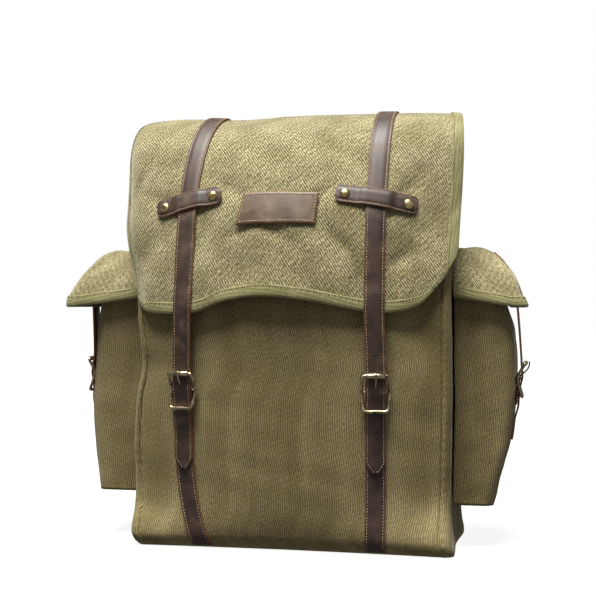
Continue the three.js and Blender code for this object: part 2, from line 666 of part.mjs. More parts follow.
// A buckle's solids in its own frame: x across, y out and z up, from the centre bar's middle.
// lifts are the heights of roller and lower bar over the centre bar.
function buckle(strapWidth, lifts) {
  const half = strapWidth / 2 + STRAP_SIDE_GAP + WIRE_RADIUS;
  const rows = [
    [0, lifts.roller, BUCKLE_UP],
    [0.5, lifts.roller, BUCKLE_UP],
    [0.84, lifts.roller, BUCKLE_UP],
    [0.99, lifts.roller * 0.9, BUCKLE_UP * 0.88],
    [1.05, lifts.roller * 0.35, BUCKLE_UP * 0.45],
    [1.04, 0, 0],
    [0.98, lifts.low * 0.5, -BUCKLE_DOWN * 0.55],
    [0.84, lifts.low, -BUCKLE_DOWN * 0.97],
    [0, lifts.low, -BUCKLE_DOWN],
  ].map(([x, y, z]) => new THREE.Vector3(x * half, y, z));
  const mirrored = rows.slice(1, -1).reverse().map((p) => new THREE.Vector3(-p.x, p.y, p.z));
  const path = new THREE.CatmullRomCurve3([...rows, ...mirrored], true, "centripetal");
  const across = (radius, length, sides) =>
    new THREE.CylinderGeometry(radius, radius, length, sides).rotateZ(Math.PI / 2);
  const frame = join([
    new THREE.TubeGeometry(path, 22, WIRE_RADIUS, 5, true),
    across(BAR_RADIUS, 2 * half, 6),
  ]);
  const bore = WIRE_RADIUS + METAL_GAP;
  const long = strapWidth / 2 - 0.5;
  const roller = new THREE.LatheGeometry(
    [[bore, -long], [ROLLER_RADIUS, -long], [ROLLER_RADIUS, long], [bore, long], [bore, -long]].map(
      ([x, y]) => new THREE.Vector2(x, y),
    ),
    10,
  )
    .rotateZ(Math.PI / 2)
    .translate(0, lifts.roller, BUCKLE_UP);
  const eye = BAR_RADIUS + METAL_GAP + PRONG_RADIUS;
  const over = lifts.roller + ROLLER_RADIUS + METAL_GAP + PRONG_RADIUS;
  const prong = (radius) => {
    const rod = new THREE.CatmullRomCurve3(
      [
        [eye * 0.7, eye * 0.7],
        [lifts.strap, BUCKLE_UP * 0.35],
        [over * 0.86, BUCKLE_UP * 0.66],
        [over + 0.2, BUCKLE_UP * 0.95],
        [over, BUCKLE_UP + PRONG_RADIUS],
      ].map(([y, z]) => new THREE.Vector3(0, y, z)),
    );
    const round = new THREE.Shape().absarc(0, 0, radius, 0, 2 * Math.PI);
    const options = { steps: 6, curveSegments: 3, extrudePath: rod, bevelEnabled: false };
    return join([
      new THREE.ExtrudeGeometry(round, options),
      new THREE.TorusGeometry(eye, radius, 5, 9).rotateY(Math.PI / 2),
    ]);
  };
  const wide = 2 * (PRONG_RADIUS + METAL_GAP);
  const slot = new THREE.BoxGeometry(wide, 6 * WRAP, SLOT_LENGTH).translate(0, 0, 2);
  return { frame, roller, prong: prong(PRONG_RADIUS), room: prong(PRONG_RADIUS + METAL_GAP), slot };
}

// Straps

// Heights over what a strap lies on, each measured to the strap's middle.
const BAR_HEIGHT = REST + LEATHER + METAL_GAP + BAR_RADIUS;
const WRAP = BAR_RADIUS + METAL_GAP + LEATHER / 2;
const ONE_UP = REST + LEATHER / 2;
const TWO_UP = ONE_UP + LEATHER + REST;
const THREE_UP = TWO_UP + LEATHER + REST;
const OVER_BAR = BAR_HEIGHT + WRAP + LEATHER + REST;

// A rivet head, a shallow dome that stands on a point.
function rivet({ point, normal }) {
  const profile = steps(0, 1, 3).map(
    (t) =>
      new THREE.Vector2(
        RIVET_RADIUS * Math.cos((t * Math.PI) / 2),
        RIVET_HEIGHT * Math.sin((t * Math.PI) / 2),
      ),
  );
  profile.at(-1).x = 0;
  const head = new THREE.LatheGeometry([new THREE.Vector2(0, 0), ...profile], 10);
  const turn = new THREE.Quaternion().setFromUnitVectors(new THREE.Vector3(0, 1, 0), normal);
  return head.applyQuaternion(turn).translate(...point.toArray());
}

// One closure: an upper strap from above, a lower strap folded round a buckle's bar, and the
// buckle. seat(level) gives the point, normal and direction across of what they lie on.
function closure({ name, seat, barLevel, lowLevel, tipLevel, width, upper, holes }) {
  const at = (level, height) => {
    const { point, normal, across } = seat(level);
    return { point: point.addScaledVector(normal, height), across };
  };
  const turnRound = steps(90, -90, 6).map((degrees) => [
    barLevel + WRAP * Math.cos(radians(degrees)),
    BAR_HEIGHT + WRAP * Math.sin(radians(degrees)),
  ]);
  const foldEnd = Math.max(barLevel - FOLD_BACK, lowLevel + 2);
  const lowerRoute = [
    ...[lowLevel, ...bodyRows, foldEnd - 12]
      .filter((z) => z >= lowLevel && z <= foldEnd - 12)
      .map((z) => [z, ONE_UP]),
    [foldEnd, TWO_UP],
    [barLevel - 9, TWO_UP + 0.4],
    ...turnRound,
    [barLevel - 8, ONE_UP],
    [foldEnd + 3, ONE_UP],
  ];
  const upperRoute = [
    [tipLevel, THREE_UP - LEATHER - REST],
    [tipLevel + 3, THREE_UP - LEATHER - REST],
    [tipLevel + TIP_LENGTH, THREE_UP - LEATHER - REST],
    [foldEnd - 14, THREE_UP - LEATHER - REST],
    [foldEnd - 2, THREE_UP],
    [barLevel - 12, THREE_UP + 0.2],
    [barLevel - 6, THREE_UP + 1.4],
    [barLevel, OVER_BAR],
    [barLevel + 6, OVER_BAR],
    [barLevel + BUCKLE_UP, OVER_BAR - 0.8],
    [barLevel + BUCKLE_UP + 6, OVER_BAR - 1],
  ];
  const rising = (rows) => rows.filter(([z], i) => rows.slice(0, i).every(([low]) => low < z - 1));
  const onSeat = rising(upperRoute).map(([z, height]) => at(z, height));
  const stations = [...onSeat, ...upper];
  const tip = (i) => [0.25, 0.62, 1][Math.min(i, 2)] * width;
  const lifts = {
    roller: OVER_BAR - 0.8 + LEATHER / 2 + METAL_GAP + ROLLER_RADIUS - BAR_HEIGHT,
    low: THREE_UP + 0.3 + LEATHER / 2 + METAL_GAP + WIRE_RADIUS - BAR_HEIGHT,
    strap: OVER_BAR - BAR_HEIGHT,
  };
  const { point, normal, across } = seat(barLevel);
  const above = seat(barLevel + BUCKLE_UP).point.sub(seat(barLevel - BUCKLE_DOWN).point);
  const side = across.clone().negate();
  const up = above.addScaledVector(side, -above.dot(side)).normalize();
  const out = up.clone().cross(side).normalize();
  const place = new THREE.Matrix4()
    .makeBasis(side, out, up)
    .setPosition(point.clone().addScaledVector(normal, BAR_HEIGHT));
  const metal = buckle(width, lifts);
  const placed = (geometry) => geometry.clone().applyMatrix4(place);
  const punched = holes.map((level) => {
    const spot = at(level, THREE_UP);
    const pin = new THREE.CylinderGeometry(HOLE_RADIUS, HOLE_RADIUS, 4 * LEATHER, 8);
    const turn = new THREE.Quaternion().setFromUnitVectors(new THREE.Vector3(0, 1, 0), normal);
    return pin.applyQuaternion(turn).translate(...spot.point.toArray());
  });
  const room = placed(metal.room);
  piece(`${name}_strap`, cut(ribbon(stations, tip, LEATHER), [room, ...punched]), leather);
  piece(
    `${name}_buckle_strap`,
    cut(ribbon(lowerRoute.map(([z, height]) => at(z, height)), () => width, LEATHER), [
      placed(metal.slot),
    ]),
    leather,
  );
  piece(`${name}_buckle_frame`, placed(metal.frame), brass);
  piece(`${name}_buckle_roller`, placed(metal.roller), brass);
  piece(`${name}_buckle_prong`, placed(metal.prong), brass);
}

// A station of a strap on a surface, with the strap's middle at a height over it.
function stationOn(surface, u, v, height, { stepU, stepV, out = 1 }) {
  const normal = normalOf(surface, u, v, stepU, stepV).multiplyScalar(out);
  const across = surface(u + stepU, v).sub(surface(u - stepU, v)).normalize();
  return { point: surface(u, v).addScaledVector(normal, height), across, normal };
}

const clothSteps = { stepU: 0.5, stepV: 0.5 };
const overTape = TAPE_REST + TAPE + ONE_UP;

for (const { name, side, ...own } of SIDES) {
  const place = side * STRAP_PLACE;
  const seat = (z) => {
    const strayed = place + own.strapDrift * Math.max(1 - z / DRIFT_LEVEL, 0) ** 2;
    return stationOn(bodyPoint, frontPlace(strayed, z), z, REST / 2, { stepU: 1e-3, stepV: 0.05 });
  };
  const w = place - LID_SHIFT;
  const lidPlace = (s) => w + own.strapLean * smooth((s / LID_LENGTH - 0.35) / 0.4);
  const hem = hemAt(w / (side < 0 ? LID_LEFT : LID_RIGHT));
  const bound = TAPE_WIDTH + 4;
  const onLid = [
    ...[-2, bound].map((up) => [hem + up, overTape]),
    ...lidRows.slice(2, -1).map((v) => [hem + v * (LID_LENGTH - hem), ONE_UP]),
  ].map(([s, height]) => stationOn(lidPoint, lidPlace(s), s, height, clothSteps));
  closure({
    name: `lid_${name}`,
    seat,
    barLevel: BAR_LEVEL,
    lowLevel: STRAP_FOOT,
    tipLevel: STRAP_TIP_LEVEL,
    width: STRAP_WIDTH,
    upper: onLid,
    holes: [BAR_LEVEL + TOP_HOLE, BAR_LEVEL + TOP_HOLE - 2 * HOLE_SPACING],
  });

  // Keeper: crosses the strap, riveted to the lid at both ends.
  const tilt = radians(-side * own.keeperTilt);
  const halfKeeper = own.keeperLength / 2;
  const route = steps(-halfKeeper, halfKeeper, 11);
  const keeperStation = (run) => {
    const over = 1 - smooth((Math.abs(run) - STRAP_WIDTH / 2 - 1) / 9);
    const [u, v] = [w + run * Math.cos(tilt), hem + own.keeperUp + run * Math.sin(tilt)];
    const height = ONE_UP + 0.3 + over * (LEATHER + REST);
    const spot = stationOn(lidPoint, u, v, height, clothSteps);
    const ahead = lidPoint(u + Math.cos(tilt), v + Math.sin(tilt));
    const onward = ahead.sub(lidPoint(u - Math.cos(tilt), v - Math.sin(tilt)));
    return { ...spot, across: spot.normal.clone().cross(onward).normalize() };
  };
  const round = (i) => {
    const short = Math.max(KEEPER_CORNER - halfKeeper + Math.abs(route[i]), 0);
    return KEEPER_WIDTH - 2 * (KEEPER_CORNER - Math.sqrt(KEEPER_CORNER ** 2 - short ** 2));
  };
  piece(`keeper_${name}`, ribbon(route.map(keeperStation), round, LEATHER), leather);
  for (const [label, end] of [["inner", -side], ["outer", side]]) {
    const spot = keeperStation(end * (halfKeeper - RIVET_INSET));
    const point = spot.point.clone().addScaledVector(spot.normal, LEATHER / 2 + REST);
    piece(`rivet_${name}_${label}`, rivet({ point, normal: spot.normal }), brass);
  }
}

// Patch between the straps.
const patchPoint = (a, b) => lidPoint(a + (PATCH_LEAN * b) / PATCH_HEIGHT, PATCH_UP + b);
piece(
  "patch",
  sheet(
    patchPoint,
    steps(-PATCH_WIDTH / 2, PATCH_WIDTH / 2, 6),
    steps(0, PATCH_HEIGHT, 3),
    { thickness: LEATHER, lift: 2 * REST, ...clothSteps },
  ),
  leather,
);

// Side pockets

const pocketReach = {
  left: through(POCKET_FORM, "level", "left"),
  right: through(POCKET_FORM, "level", "right"),
};
const flapShare = {
  left: through(FLAP_FORM, "step", "left"),
  right: through(FLAP_FORM, "step", "right"),
  up: through(FLAP_FORM, "step", "up"),
};

// A point round a U that opens towards the sack: place 0 to 1 is the front wall, 1 to 2 the
// front corner, 2 to 3 the outer wall, 3 to 4 the back corner and 4 to 5 the back wall.
function aroundU(place, reach, front, back, corner) {
  const radius = Math.min(corner, reach * 0.45);
  const [out, near, far] = [reach - radius, front + radius, back - radius];
  const quarter = Math.PI / 2;
  if (place <= 1) return [out * place, front];
  if (place <= 2) {
    const turn = (place - 1) * quarter;
    return [out + radius * Math.sin(turn), near - radius * Math.cos(turn)];
  }
  if (place <= 3) return [reach, near + (far - near) * (place - 2)];
  if (place <= 4) {
    const turn = (place - 3) * quarter;
    return [out + radius * Math.cos(turn), far + radius * Math.sin(turn)];
  }
  return [out * (5 - place), back];
}

const uPlaces = (fine) => [
  ...steps(0, 1, 3), ...steps(1, 2, 2).slice(1), ...steps(2, 3, fine).slice(1),
  ...steps(3, 4, 2).slice(1), ...steps(4, 5, 2).slice(1),
];
// The sack's side, which a pocket's open edge follows.
const sideAt = (side, z) =>
  Math.abs(bodyPoint(side * 2, clamp(z, 0, BODY_HEIGHT)).x) + REST + 0.2;

// How strongly the middle of an outer wall takes part, from 0 at its corners to 1.
const atMiddle = (place) => Math.sin((clamp(place - 1.6, 0, 1.8) * Math.PI) / 1.8) ** 2;

for (const { name, side, ...own } of SIDES) {
  const { pocketBottom } = own;
  const pocketPoint = (place, z) => {
    const level = clamp((z - pocketBottom) / (POCKET_TOP - pocketBottom), 0, 1);
    const reach = POCKET_OUT * pocketReach[name](level) - sideAt(side, z);
    const [out, y] = aroundU(place, reach, POCKET_FRONT, POCKET_BACK, POCKET_CORNER);
    const bulge = own.pocketBulge * Math.sin(Math.PI * level) ** 0.7 * atMiddle(place);
    return new THREE.Vector3(side * (sideAt(side, z) + out + bulge), y, z);
  };
  const pocketWall = { thickness: CANVAS, lift: -CANVAS, out: side, stepU: 1e-3, stepV: 0.2 };
  const rows = steps(pocketBottom, POCKET_TOP, 6);
  const columns = uPlaces(4);
  piece(`pocket_${name}`, sheet(pocketPoint, columns, rows, pocketWall), canvasShade);

  // Bottom of the pocket, just inside its walls.
  const inset = CANVAS + REST;
  const bottomSide = sideAt(side, pocketBottom);
  const bottomReach = POCKET_OUT * pocketReach[name](0) - bottomSide - inset;
  const loop = columns.map((place) => {
    const [out, y] = aroundU(
      place, bottomReach, POCKET_FRONT + inset, POCKET_BACK - inset, POCKET_CORNER - inset,
    );
    return new THREE.Vector2(side * (bottomSide + out), y);
  });
  piece(
    `pocket_base_${name}`,
    new THREE.ExtrudeGeometry(new THREE.Shape(loop), { depth: CANVAS, bevelEnabled: false })
      .translate(0, 0, pocketBottom + REST),
    canvasShade,
  );

  // Flap: a cap with a front and a back wing, drawn in by its strap.
  const flapPoint = (place, step) => {
    const up = flapShare.up(step);
    const lean = Math.max(up, 0) ** 1.6;
    const [front, back] = [FLAP_FRONT + FLAP_FRONT_LEAN * lean, FLAP_BACK - FLAP_BACK_LEAN * lean];
    const reach = Math.max(FLAP_REACH * flapShare[name](step), 0);
    const [out, y] = aroundU(place, reach, front, back, FLAP_CORNER);
    const below = 1 - clamp(step, 0, 1);
    const wing = Math.max(1 - place, place - 4, 0);
    const climb = FLAP_ROOT_CLIMB * wing * below;
    const dips = FLAP_FRONT_DIP * Math.max(1 - place / 2, 0) + own.flapDip * Math.max(place - 3, 0) / 2;
    const dip = dips * smooth((step - 0.7) / 0.3);
    const z = POCKET_TOP - FLAP_OVERLAP + FLAP_RISE * (up + climb - dip);
    const drawn = own.flapPull * atMiddle(place) * below ** 2;
    return new THREE.Vector3(side * (sideAt(side, z) + out - drawn), y, z);
  };
  const flapSteps = { stepU: 1e-3, stepV: 1e-3 };
  const flapColumns = uPlaces(6);
  const flapRows = [...steps(0, 0.82, 5), 0.92, 0.99];
  piece(
    `pocket_flap_${name}`,
    sheet(flapPoint, flapColumns, flapRows, {
      thickness: CANVAS,
      lift: -CANVAS,
      out: side,
      ...flapSteps,
    }),
    canvas,
  );
  const mirrored = (u, v) => flapPoint(side > 0 ? u : 5 - u, v);
  const hemPath = flapColumns.map((place) => {
    const u = side > 0 ? place : 5 - place;
    const size = mirrored(u, 0.02).distanceTo(mirrored(u, 0)) / 0.02;
    return { u, v: 0, inU: 0, inV: 1 / size };
  });
  piece(`pocket_flap_binding_${name}`, binding(mirrored, hemPath, flapSteps), tape);

  // Strap, tab and buckle on the outer wall.
  const middle = 2.5;
  const seat = (z) => {
    const spot = stationOn(pocketPoint, middle, z, 0, pocketWall);
    return { ...spot, across: spot.across.multiplyScalar(side) };
  };
  const onFlap = [
    [-0.06, overTape + 1.3], [0.2, overTape + 0.3], [0.3, ONE_UP + 0.3],
    [0.42, ONE_UP + 0.3], [0.54, ONE_UP + 0.3], [0.66, ONE_UP + 0.3],
  ].map(([step, height]) => {
    const spot = stationOn(flapPoint, middle, step, height, { ...flapSteps, out: side });
    return { point: spot.point, across: spot.across.multiplyScalar(side) };
  });
  closure({
    name: `pocket_${name}`,
    seat,
    barLevel: POCKET_BAR_LEVEL,
    lowLevel: POCKET_BAR_LEVEL - POCKET_TAB - 8,
    tipLevel: POCKET_TIP_LEVEL,
    width: POCKET_STRAP_WIDTH,
    upper: onFlap,
    holes: [POCKET_BAR_LEVEL + TOP_HOLE - 2 * HOLE_SPACING],
  });
}

// What is worn on the back, plain because the front hides it

const backSpot = (x, z, height) => {
  const level = clamp(z / BODY_HEIGHT, 0, 1);
  const y = BACK_DEPTH * sectionCurves.back(level) - (x * x) / (2 * BACK_CROWN);
  return new THREE.Vector3(x, y + height, z);
};

for (const { name, side } of SIDES) {
  const stations = steps(0, 1, 16).map((t) => {
    const place = SHOULDER_TOP_PLACE + (SHOULDER_LOW_PLACE - SHOULDER_TOP_PLACE) * smooth(t);
    const fall = SHOULDER_TOP_LEVEL - SHOULDER_LOW_LEVEL;
    const z = BODY_HEIGHT * (SHOULDER_TOP_LEVEL - fall * t);
    const bow = SHOULDER_BOW * Math.sin(Math.PI * t ** 0.8) ** 1.6;
    const height = 1.5 * REST + SHOULDER_THICKNESS / 2 + bow;
    const across = new THREE.Vector3(1, (-side * place) / BACK_CROWN, 0).normalize();
    return { point: backSpot(side * place, z, height), across };
  });
  piece(`shoulder_strap_${name}`, ribbon(stations, () => SHOULDER_WIDTH, SHOULDER_THICKNESS), canvas);

  // Leather anchor on the back, right under the strap's lower end.
  const anchorTop = BODY_HEIGHT * SHOULDER_LOW_LEVEL - 3 * REST;
  const anchorPlaces = steps(4.04, 4.04 + (2 * ANCHOR_WIDTH) / BODY_WIDTH, 3).map((k) => side * k);
  piece(
    `strap_anchor_${name}`,
    sheet(
      bodyPoint,
      side < 0 ? anchorPlaces.reverse() : anchorPlaces,
      steps(anchorTop - ANCHOR_HEIGHT, anchorTop, 2),
      { thickness: LEATHER, lift: 3 * REST, stepV: 0.05 },
    ),
    leather,
  );
}

const handleStations = steps(-1, 1, 12).map((t) => {
  const rise = 1 - t * t;
  const height = REST + LEATHER + HANDLE_BOW * rise;
  const point = backSpot((t * HANDLE_SPAN) / 2, BODY_HEIGHT * HANDLE_LEVEL, height);
  return { point, across: new THREE.Vector3(0, 0, 1) };
});
piece("carry_handle", ribbon(handleStations, () => HANDLE_WIDTH, LEATHER * 1.5), leather);

export default daypack;
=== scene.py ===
import bpy
import numpy as np
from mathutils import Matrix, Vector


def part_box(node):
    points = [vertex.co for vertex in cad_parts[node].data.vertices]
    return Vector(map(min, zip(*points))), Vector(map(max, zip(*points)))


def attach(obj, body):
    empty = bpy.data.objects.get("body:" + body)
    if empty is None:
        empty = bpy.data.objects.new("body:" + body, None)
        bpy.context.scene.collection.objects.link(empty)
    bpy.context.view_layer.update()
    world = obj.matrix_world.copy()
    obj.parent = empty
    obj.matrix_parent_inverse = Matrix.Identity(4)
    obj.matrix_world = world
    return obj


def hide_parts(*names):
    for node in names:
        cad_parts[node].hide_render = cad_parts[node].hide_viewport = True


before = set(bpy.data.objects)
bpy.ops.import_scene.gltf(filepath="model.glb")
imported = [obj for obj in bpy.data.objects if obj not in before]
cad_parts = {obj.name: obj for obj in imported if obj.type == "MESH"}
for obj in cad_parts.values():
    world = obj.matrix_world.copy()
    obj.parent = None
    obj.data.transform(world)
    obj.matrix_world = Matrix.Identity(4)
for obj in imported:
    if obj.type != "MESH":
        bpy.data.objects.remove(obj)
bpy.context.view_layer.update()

# %% [markdown]
# # A canvas daypack
#
# The pack is a sewn sack of olive twill with a lid flap, two flapped pockets on its sides and
# dark leather straps with brass roller buckles. Its cloth could be draped by a cloth
# simulation, but the folds of a packed canvas bag are few and broad, and each one can be seen
# in the photograph. So every cloth here is a surface worked out as a formula of two
# parameters, with the folds written down in short tables. The sizes are millimetres and the
# pieces become metres only when their mesh is made.

# %% Small helpers for numbers
MM = 0.001


def steps(start, stop, count):
    """count + 1 evenly spaced values."""
    return np.linspace(start, stop, count + 1)


def smooth(x):
    """An S-curve from 0 to 1: three times x squared less twice x cubed."""
    x = np.clip(x, 0, 1)
    return x * x * (3 - 2 * x)


def table(names, *rows):
    """A table as named columns."""
    return dict(zip(names.split(), np.array(rows, float).T))


def through(rows, at, column):
    """A smooth curve through a column: a cubic between rows, whose slope at a row is that from
    the row before it to the row after it. Past both ends it runs straight on."""
    x, y = rows[at], rows[column]
    slope = np.empty_like(y)
    slope[1:-1] = (y[2:] - y[:-2]) / (x[2:] - x[:-2])
    slope[[0, -1]] = (y[1] - y[0]) / (x[1] - x[0]), (y[-1] - y[-2]) / (x[-1] - x[-2])

    def value(where):
        where = np.asarray(where, float)
        i = np.clip(np.searchsorted(x, where, side="right") - 1, 0, len(x) - 2)
        span = x[i + 1] - x[i]
        t = np.clip((where - x[i]) / span, 0, 1)
        rest = 1 - t
        inside = y[i] * (1 + 2 * t) * rest**2 + slope[i] * span * t * rest**2
        inside += y[i + 1] * t**2 * (3 - 2 * t) - slope[i + 1] * span * t**2 * rest
        below, above = np.minimum(where - x[0], 0), np.maximum(where - x[-1], 0)
        return inside + slope[0] * below + slope[-1] * above

    return value


def folded(folds, across, along, half, length, deepest):
    """The sum of a table's folds, each a long bell-shaped hollow that is turned by an angle."""
    total = np.zeros(np.broadcast(across, along).shape)
    for i in range(len(folds["depth"])):
        x = across - folds["across"][i] * half
        y = along - folds["along"][i] * length
        turn = np.radians(folds["turn"][i])
        onward = (x * np.cos(turn) + y * np.sin(turn)) / (folds["long"][i] * half)
        aside = (y * np.cos(turn) - x * np.sin(turn)) / (folds["wide"][i] * half)
        total += folds["depth"][i] * deepest * np.exp(-(onward**2) - aside**2)
    return total


def rumple(a, b, size, seed):
    """Soft unevenness of cloth: six sine waves in seeded directions, 1 to 2.5 times size long."""
    draw = np.random.default_rng(seed)
    total = 0
    for _ in range(6):
        angle, phase = draw.uniform(0, np.pi), draw.uniform(0, 2 * np.pi)
        length = size * draw.uniform(1, 2.5)
        total = total + np.sin(2 * np.pi * (a * np.cos(angle) + b * np.sin(angle)) / length + phase)
    return total / 6


def unit(vectors):
    """Vectors scaled to length 1."""
    return vectors / np.linalg.norm(vectors, axis=-1, keepdims=True)


def normals(surface, u, v, du, dv, out=1):
    """Unit normals of a surface: the cross product of its two slopes, by central differences."""
    along_u = surface(u + du, v) - surface(u - du, v)
    along_v = surface(u, v + dv) - surface(u, v - dv)
    return out * unit(np.cross(along_u, along_v))


def run_along(points, axis=0):
    """The length run along a grid's rows or columns of points, from 0 at the first."""
    gaps = np.linalg.norm(np.diff(points, axis=axis), axis=-1)
    start = np.zeros_like(np.take(gaps, [0], axis=axis))
    return np.concatenate([start, np.cumsum(gaps, axis=axis)], axis=axis)


def placed(rings, origin, first, second, third):
    """Points carried into a frame, given by its origin and its three directions."""
    return origin + rings[..., :1] * first + rings[..., 1:2] * second + rings[..., 2:] * third


# %% [markdown]
# ## Materials
#
# Each finish starts from the real stuff. Twill canvas is two sets of yarns whose floats step
# sideways row by row, so its pattern is a steep diagonal rib broken into short dashes. A
# picture of cloth could be wrapped round the pack, but a pattern made of wave textures on the
# cloth's own UV map keeps its thread size everywhere and needs no file.

# %% Colours and the node helper


def colour(code):
    """An sRGB hex colour as linear red, green, blue and alpha."""
    values = np.array([int(code[i : i + 2], 16) for i in (1, 3, 5)]) / 255
    linear = np.where(values <= 0.04045, values / 12.92, ((values + 0.055) / 1.055) ** 2.4)
    return (*linear.tolist(), 1.0)


def new_material(name):
    """An empty material with its tree and its Principled shader."""
    material = bpy.data.materials.new(name)
    material.use_nodes = True
    return material, material.node_tree, material.node_tree.nodes["Principled BSDF"]


def add(tree, kind, inputs=None, stops=None, **settings):
    """Adds one node. settings are its properties, inputs are values or sockets to link by name
    or number, and stops are a colour ramp's (position, hex colour) pairs."""
    node = tree.nodes.new(kind)
    for name, value in settings.items():
        setattr(node, name, value)
    for name, value in (inputs or {}).items():
        if isinstance(value, bpy.types.NodeSocket):
            tree.links.new(value, node.inputs[name])
        else:
            node.inputs[name].default_value = value
    for i, (position, code) in enumerate(stops or []):
        if i > 1:
            node.color_ramp.elements.new(position)
        element = node.color_ramp.elements[i]
        element.position, element.color = position, colour(code)
    return node


MIX_A, MIX_B, MIX_COLOUR = 6, 7, 2  # a Mix node's colour sockets and its colour output


# %% [markdown]
# The pack is 12 ounce cotton twill, piece-dyed olive and washed. A twill's warp floats step
# sideways row by row, so its face is a steep diagonal rib broken into short dashes. The
# colour follows the height of the ribs and of the yarn's slubs. It is partly the yarn's own
# tone, and partly painted light: a light top is painted highlight and a dark valley is
# painted shade. The real ribs are about a millimetre apart, finer than a pixel of the
# render, so they are drawn 2.3 mm apart on the lid. The sack and the pockets face away from
# the lamp and look smoother, and theirs are 2.2 mm apart. The lid's copy of the cloth has
# more contrast and a paler light yarn, which is painted highlight. The copy on the sack and
# pockets has less contrast and a dimmer light yarn, which is painted shade. The fibres' fuzz
# gives the cloth a pale sheen where it is seen at a glancing angle.

# %% Twill canvas
BAND = 2 * np.pi / 20  # length of one band of a wave texture at scale 1


def twill(name, pitch, lean, shares, contrast, streak, colours, sheen):
    """Piece-dyed cotton twill. Height is the sum of a rib, a dash across it and slub noise,
    each times its share, and the colour follows the height times the dye's streaks: partly
    the yarn's own tone, with painted shade in the low valleys and painted highlight on the
    high tops."""
    material, tree, shader = new_material(name)
    place = add(tree, "ShaderNodeUVMap", uv_map="cloth").outputs["UV"]
    along_rib = add(
        tree, "ShaderNodeMapping", {"Vector": place, "Rotation": (0, 0, np.radians(lean))}
    )
    drawn_out = add(
        tree,
        "ShaderNodeMapping",
        {"Vector": along_rib.outputs["Vector"], "Scale": (1.0, SLUB_SHORTER, 1.0)},
    )
    slub = add(
        tree,
        "ShaderNodeTexNoise",
        {
            "Vector": drawn_out.outputs["Vector"],
            "Scale": 1 / (SLUB * MM),
            "Detail": 3.0,
            "Roughness": 0.7,
        },
    )
    height = add(
        tree, "ShaderNodeMath", {0: slub.outputs["Fac"], 1: shares[2]}, operation="MULTIPLY"
    ).outputs[0]
    turns = (lean, pitch), (lean + 75, 2.3 * pitch)
    for (turn, length), share in zip(turns, shares):
        turned = add(
            tree,
            "ShaderNodeMapping",
            {"Vector": place, "Rotation": (0, 0, np.radians(turn))},
        )
        wave = add(
            tree,
            "ShaderNodeTexWave",
            {
                "Vector": turned.outputs["Vector"],
                "Scale": BAND / (length * MM),
                "Distortion": 3.2,
                "Detail": 2.0,
                "Detail Scale": 0.8,
                "Detail Roughness": 0.65,
            },
        )
        height = add(
            tree,
            "ShaderNodeMath",
            {0: wave.outputs["Fac"], 1: share, 2: height},
            operation="MULTIPLY_ADD",
        ).outputs[0]
    mean = sum(shares) / 2
    spread = add(
        tree,
        "ShaderNodeMapRange",
        {"Value": height, "From Min": mean - 0.5 / contrast, "From Max": mean + 0.5 / contrast},
    )
    dark, middle, light = colours
    # The yarn ramp runs from dark low down to light high up: besides the yarn's own tone, it is
    # painted shade in the rib valleys and painted highlight on the rib tops.
    yarn = add(
        tree,
        "ShaderNodeValToRGB",
        {"Fac": spread.outputs["Result"]},
        stops=[(0.1, dark), (0.5, middle), (0.9, light)],
    )
    stretched = add(
        tree, "ShaderNodeMapping", {"Vector": place, "Scale": (1.0, streak, 1.0)}
    )
    dye = add(
        tree,
        "ShaderNodeTexNoise",
        {"Vector": stretched.outputs["Vector"], "Scale": 1 / (DYE * MM), "Detail": 6.0},
    )
    tone = add(
        tree,
        "ShaderNodeValToRGB",
        {"Fac": dye.outputs["Fac"]},
        stops=[(0.34, "#d2cfbf"), (0.64, "#ffffff")],
    )
    cloth = add(
        tree,
        "ShaderNodeMix",
        {0: 1.0, MIX_A: yarn.outputs["Color"], MIX_B: tone.outputs["Color"]},
        data_type="RGBA",
        blend_type="MULTIPLY",
    )
    tree.links.new(cloth.outputs[MIX_COLOUR], shader.inputs["Base Color"])
    bump = add(
        tree,
        "ShaderNodeBump",
        {"Height": height, "Strength": 0.4, "Distance": 0.4 * MM},
    )
    tree.links.new(bump.outputs["Normal"], shader.inputs["Normal"])
    shader.inputs["Roughness"].default_value = 0.85
    shader.inputs["Specular IOR Level"].default_value = 0.3
    shader.inputs["Sheen Weight"].default_value = sheen
    shader.inputs["Sheen Roughness"].default_value = 0.45
    shader.inputs["Sheen Tint"].default_value = colour("#f2efdd")
    return material


SLUB = 1.25  # the width of the yarn's thick spots
SLUB_SHORTER = 0.35  # their width as a share of their length
DYE = 30.0  # the size of the dye's cloudy patches

# The lid's copy of the twill has a paler light yarn and more contrast: painted highlight where the
# lamp falls on the lid, besides the real twill.
canvas = twill(
    "cotton_twill_with_painted_highlight",
    pitch=2.3,
    lean=-32,
    shares=(0.42, 0.1, 1.7),
    contrast=1.25,
    streak=1.0,
    colours=("#494127", "#7c724d", "#c4bc95"),
    sheen=0.6,
)
# The copy for the sack and pockets has a dimmer light yarn and less contrast: painted shade for the
# faces turned away from the lamp.
panel_canvas = twill(
    "cotton_twill_with_painted_shade",
    pitch=2.2,
    lean=-7,
    shares=(0.5, 0.06, 1.0),
    contrast=1.0,
    streak=0.08,
    colours=("#574b2f", "#7f714c", "#a89d76"),
    sheen=0.12,
)

# %% [markdown]
# The edges are bound with a narrow herringbone tape, dyed a little greener than the canvas.

# %% Binding tape
tape_cloth = twill(
    "woven_binding_tape",
    pitch=1.5,
    lean=20,
    shares=(0.3, 0.3, 0.8),
    contrast=0.8,
    streak=1.0,
    colours=("#64613f", "#87835a", "#aca87e"),
    sheen=0.3,
)

# %% [markdown]
# The straps are vegetable-tanned leather, dyed dark brown and waxed. The face is smooth with a
# fine grain and a soft gloss, and the cut edge shows the orange-brown of the raw hide. Each
# strap's mesh carries a "rim" attribute, 0 on the face and 1 on the cut edge, that tells the
# material which is which. The grain's pores are really 0.3 mm apart and are drawn at 0.9 mm.

# %% Waxed leather
PORE = 0.9


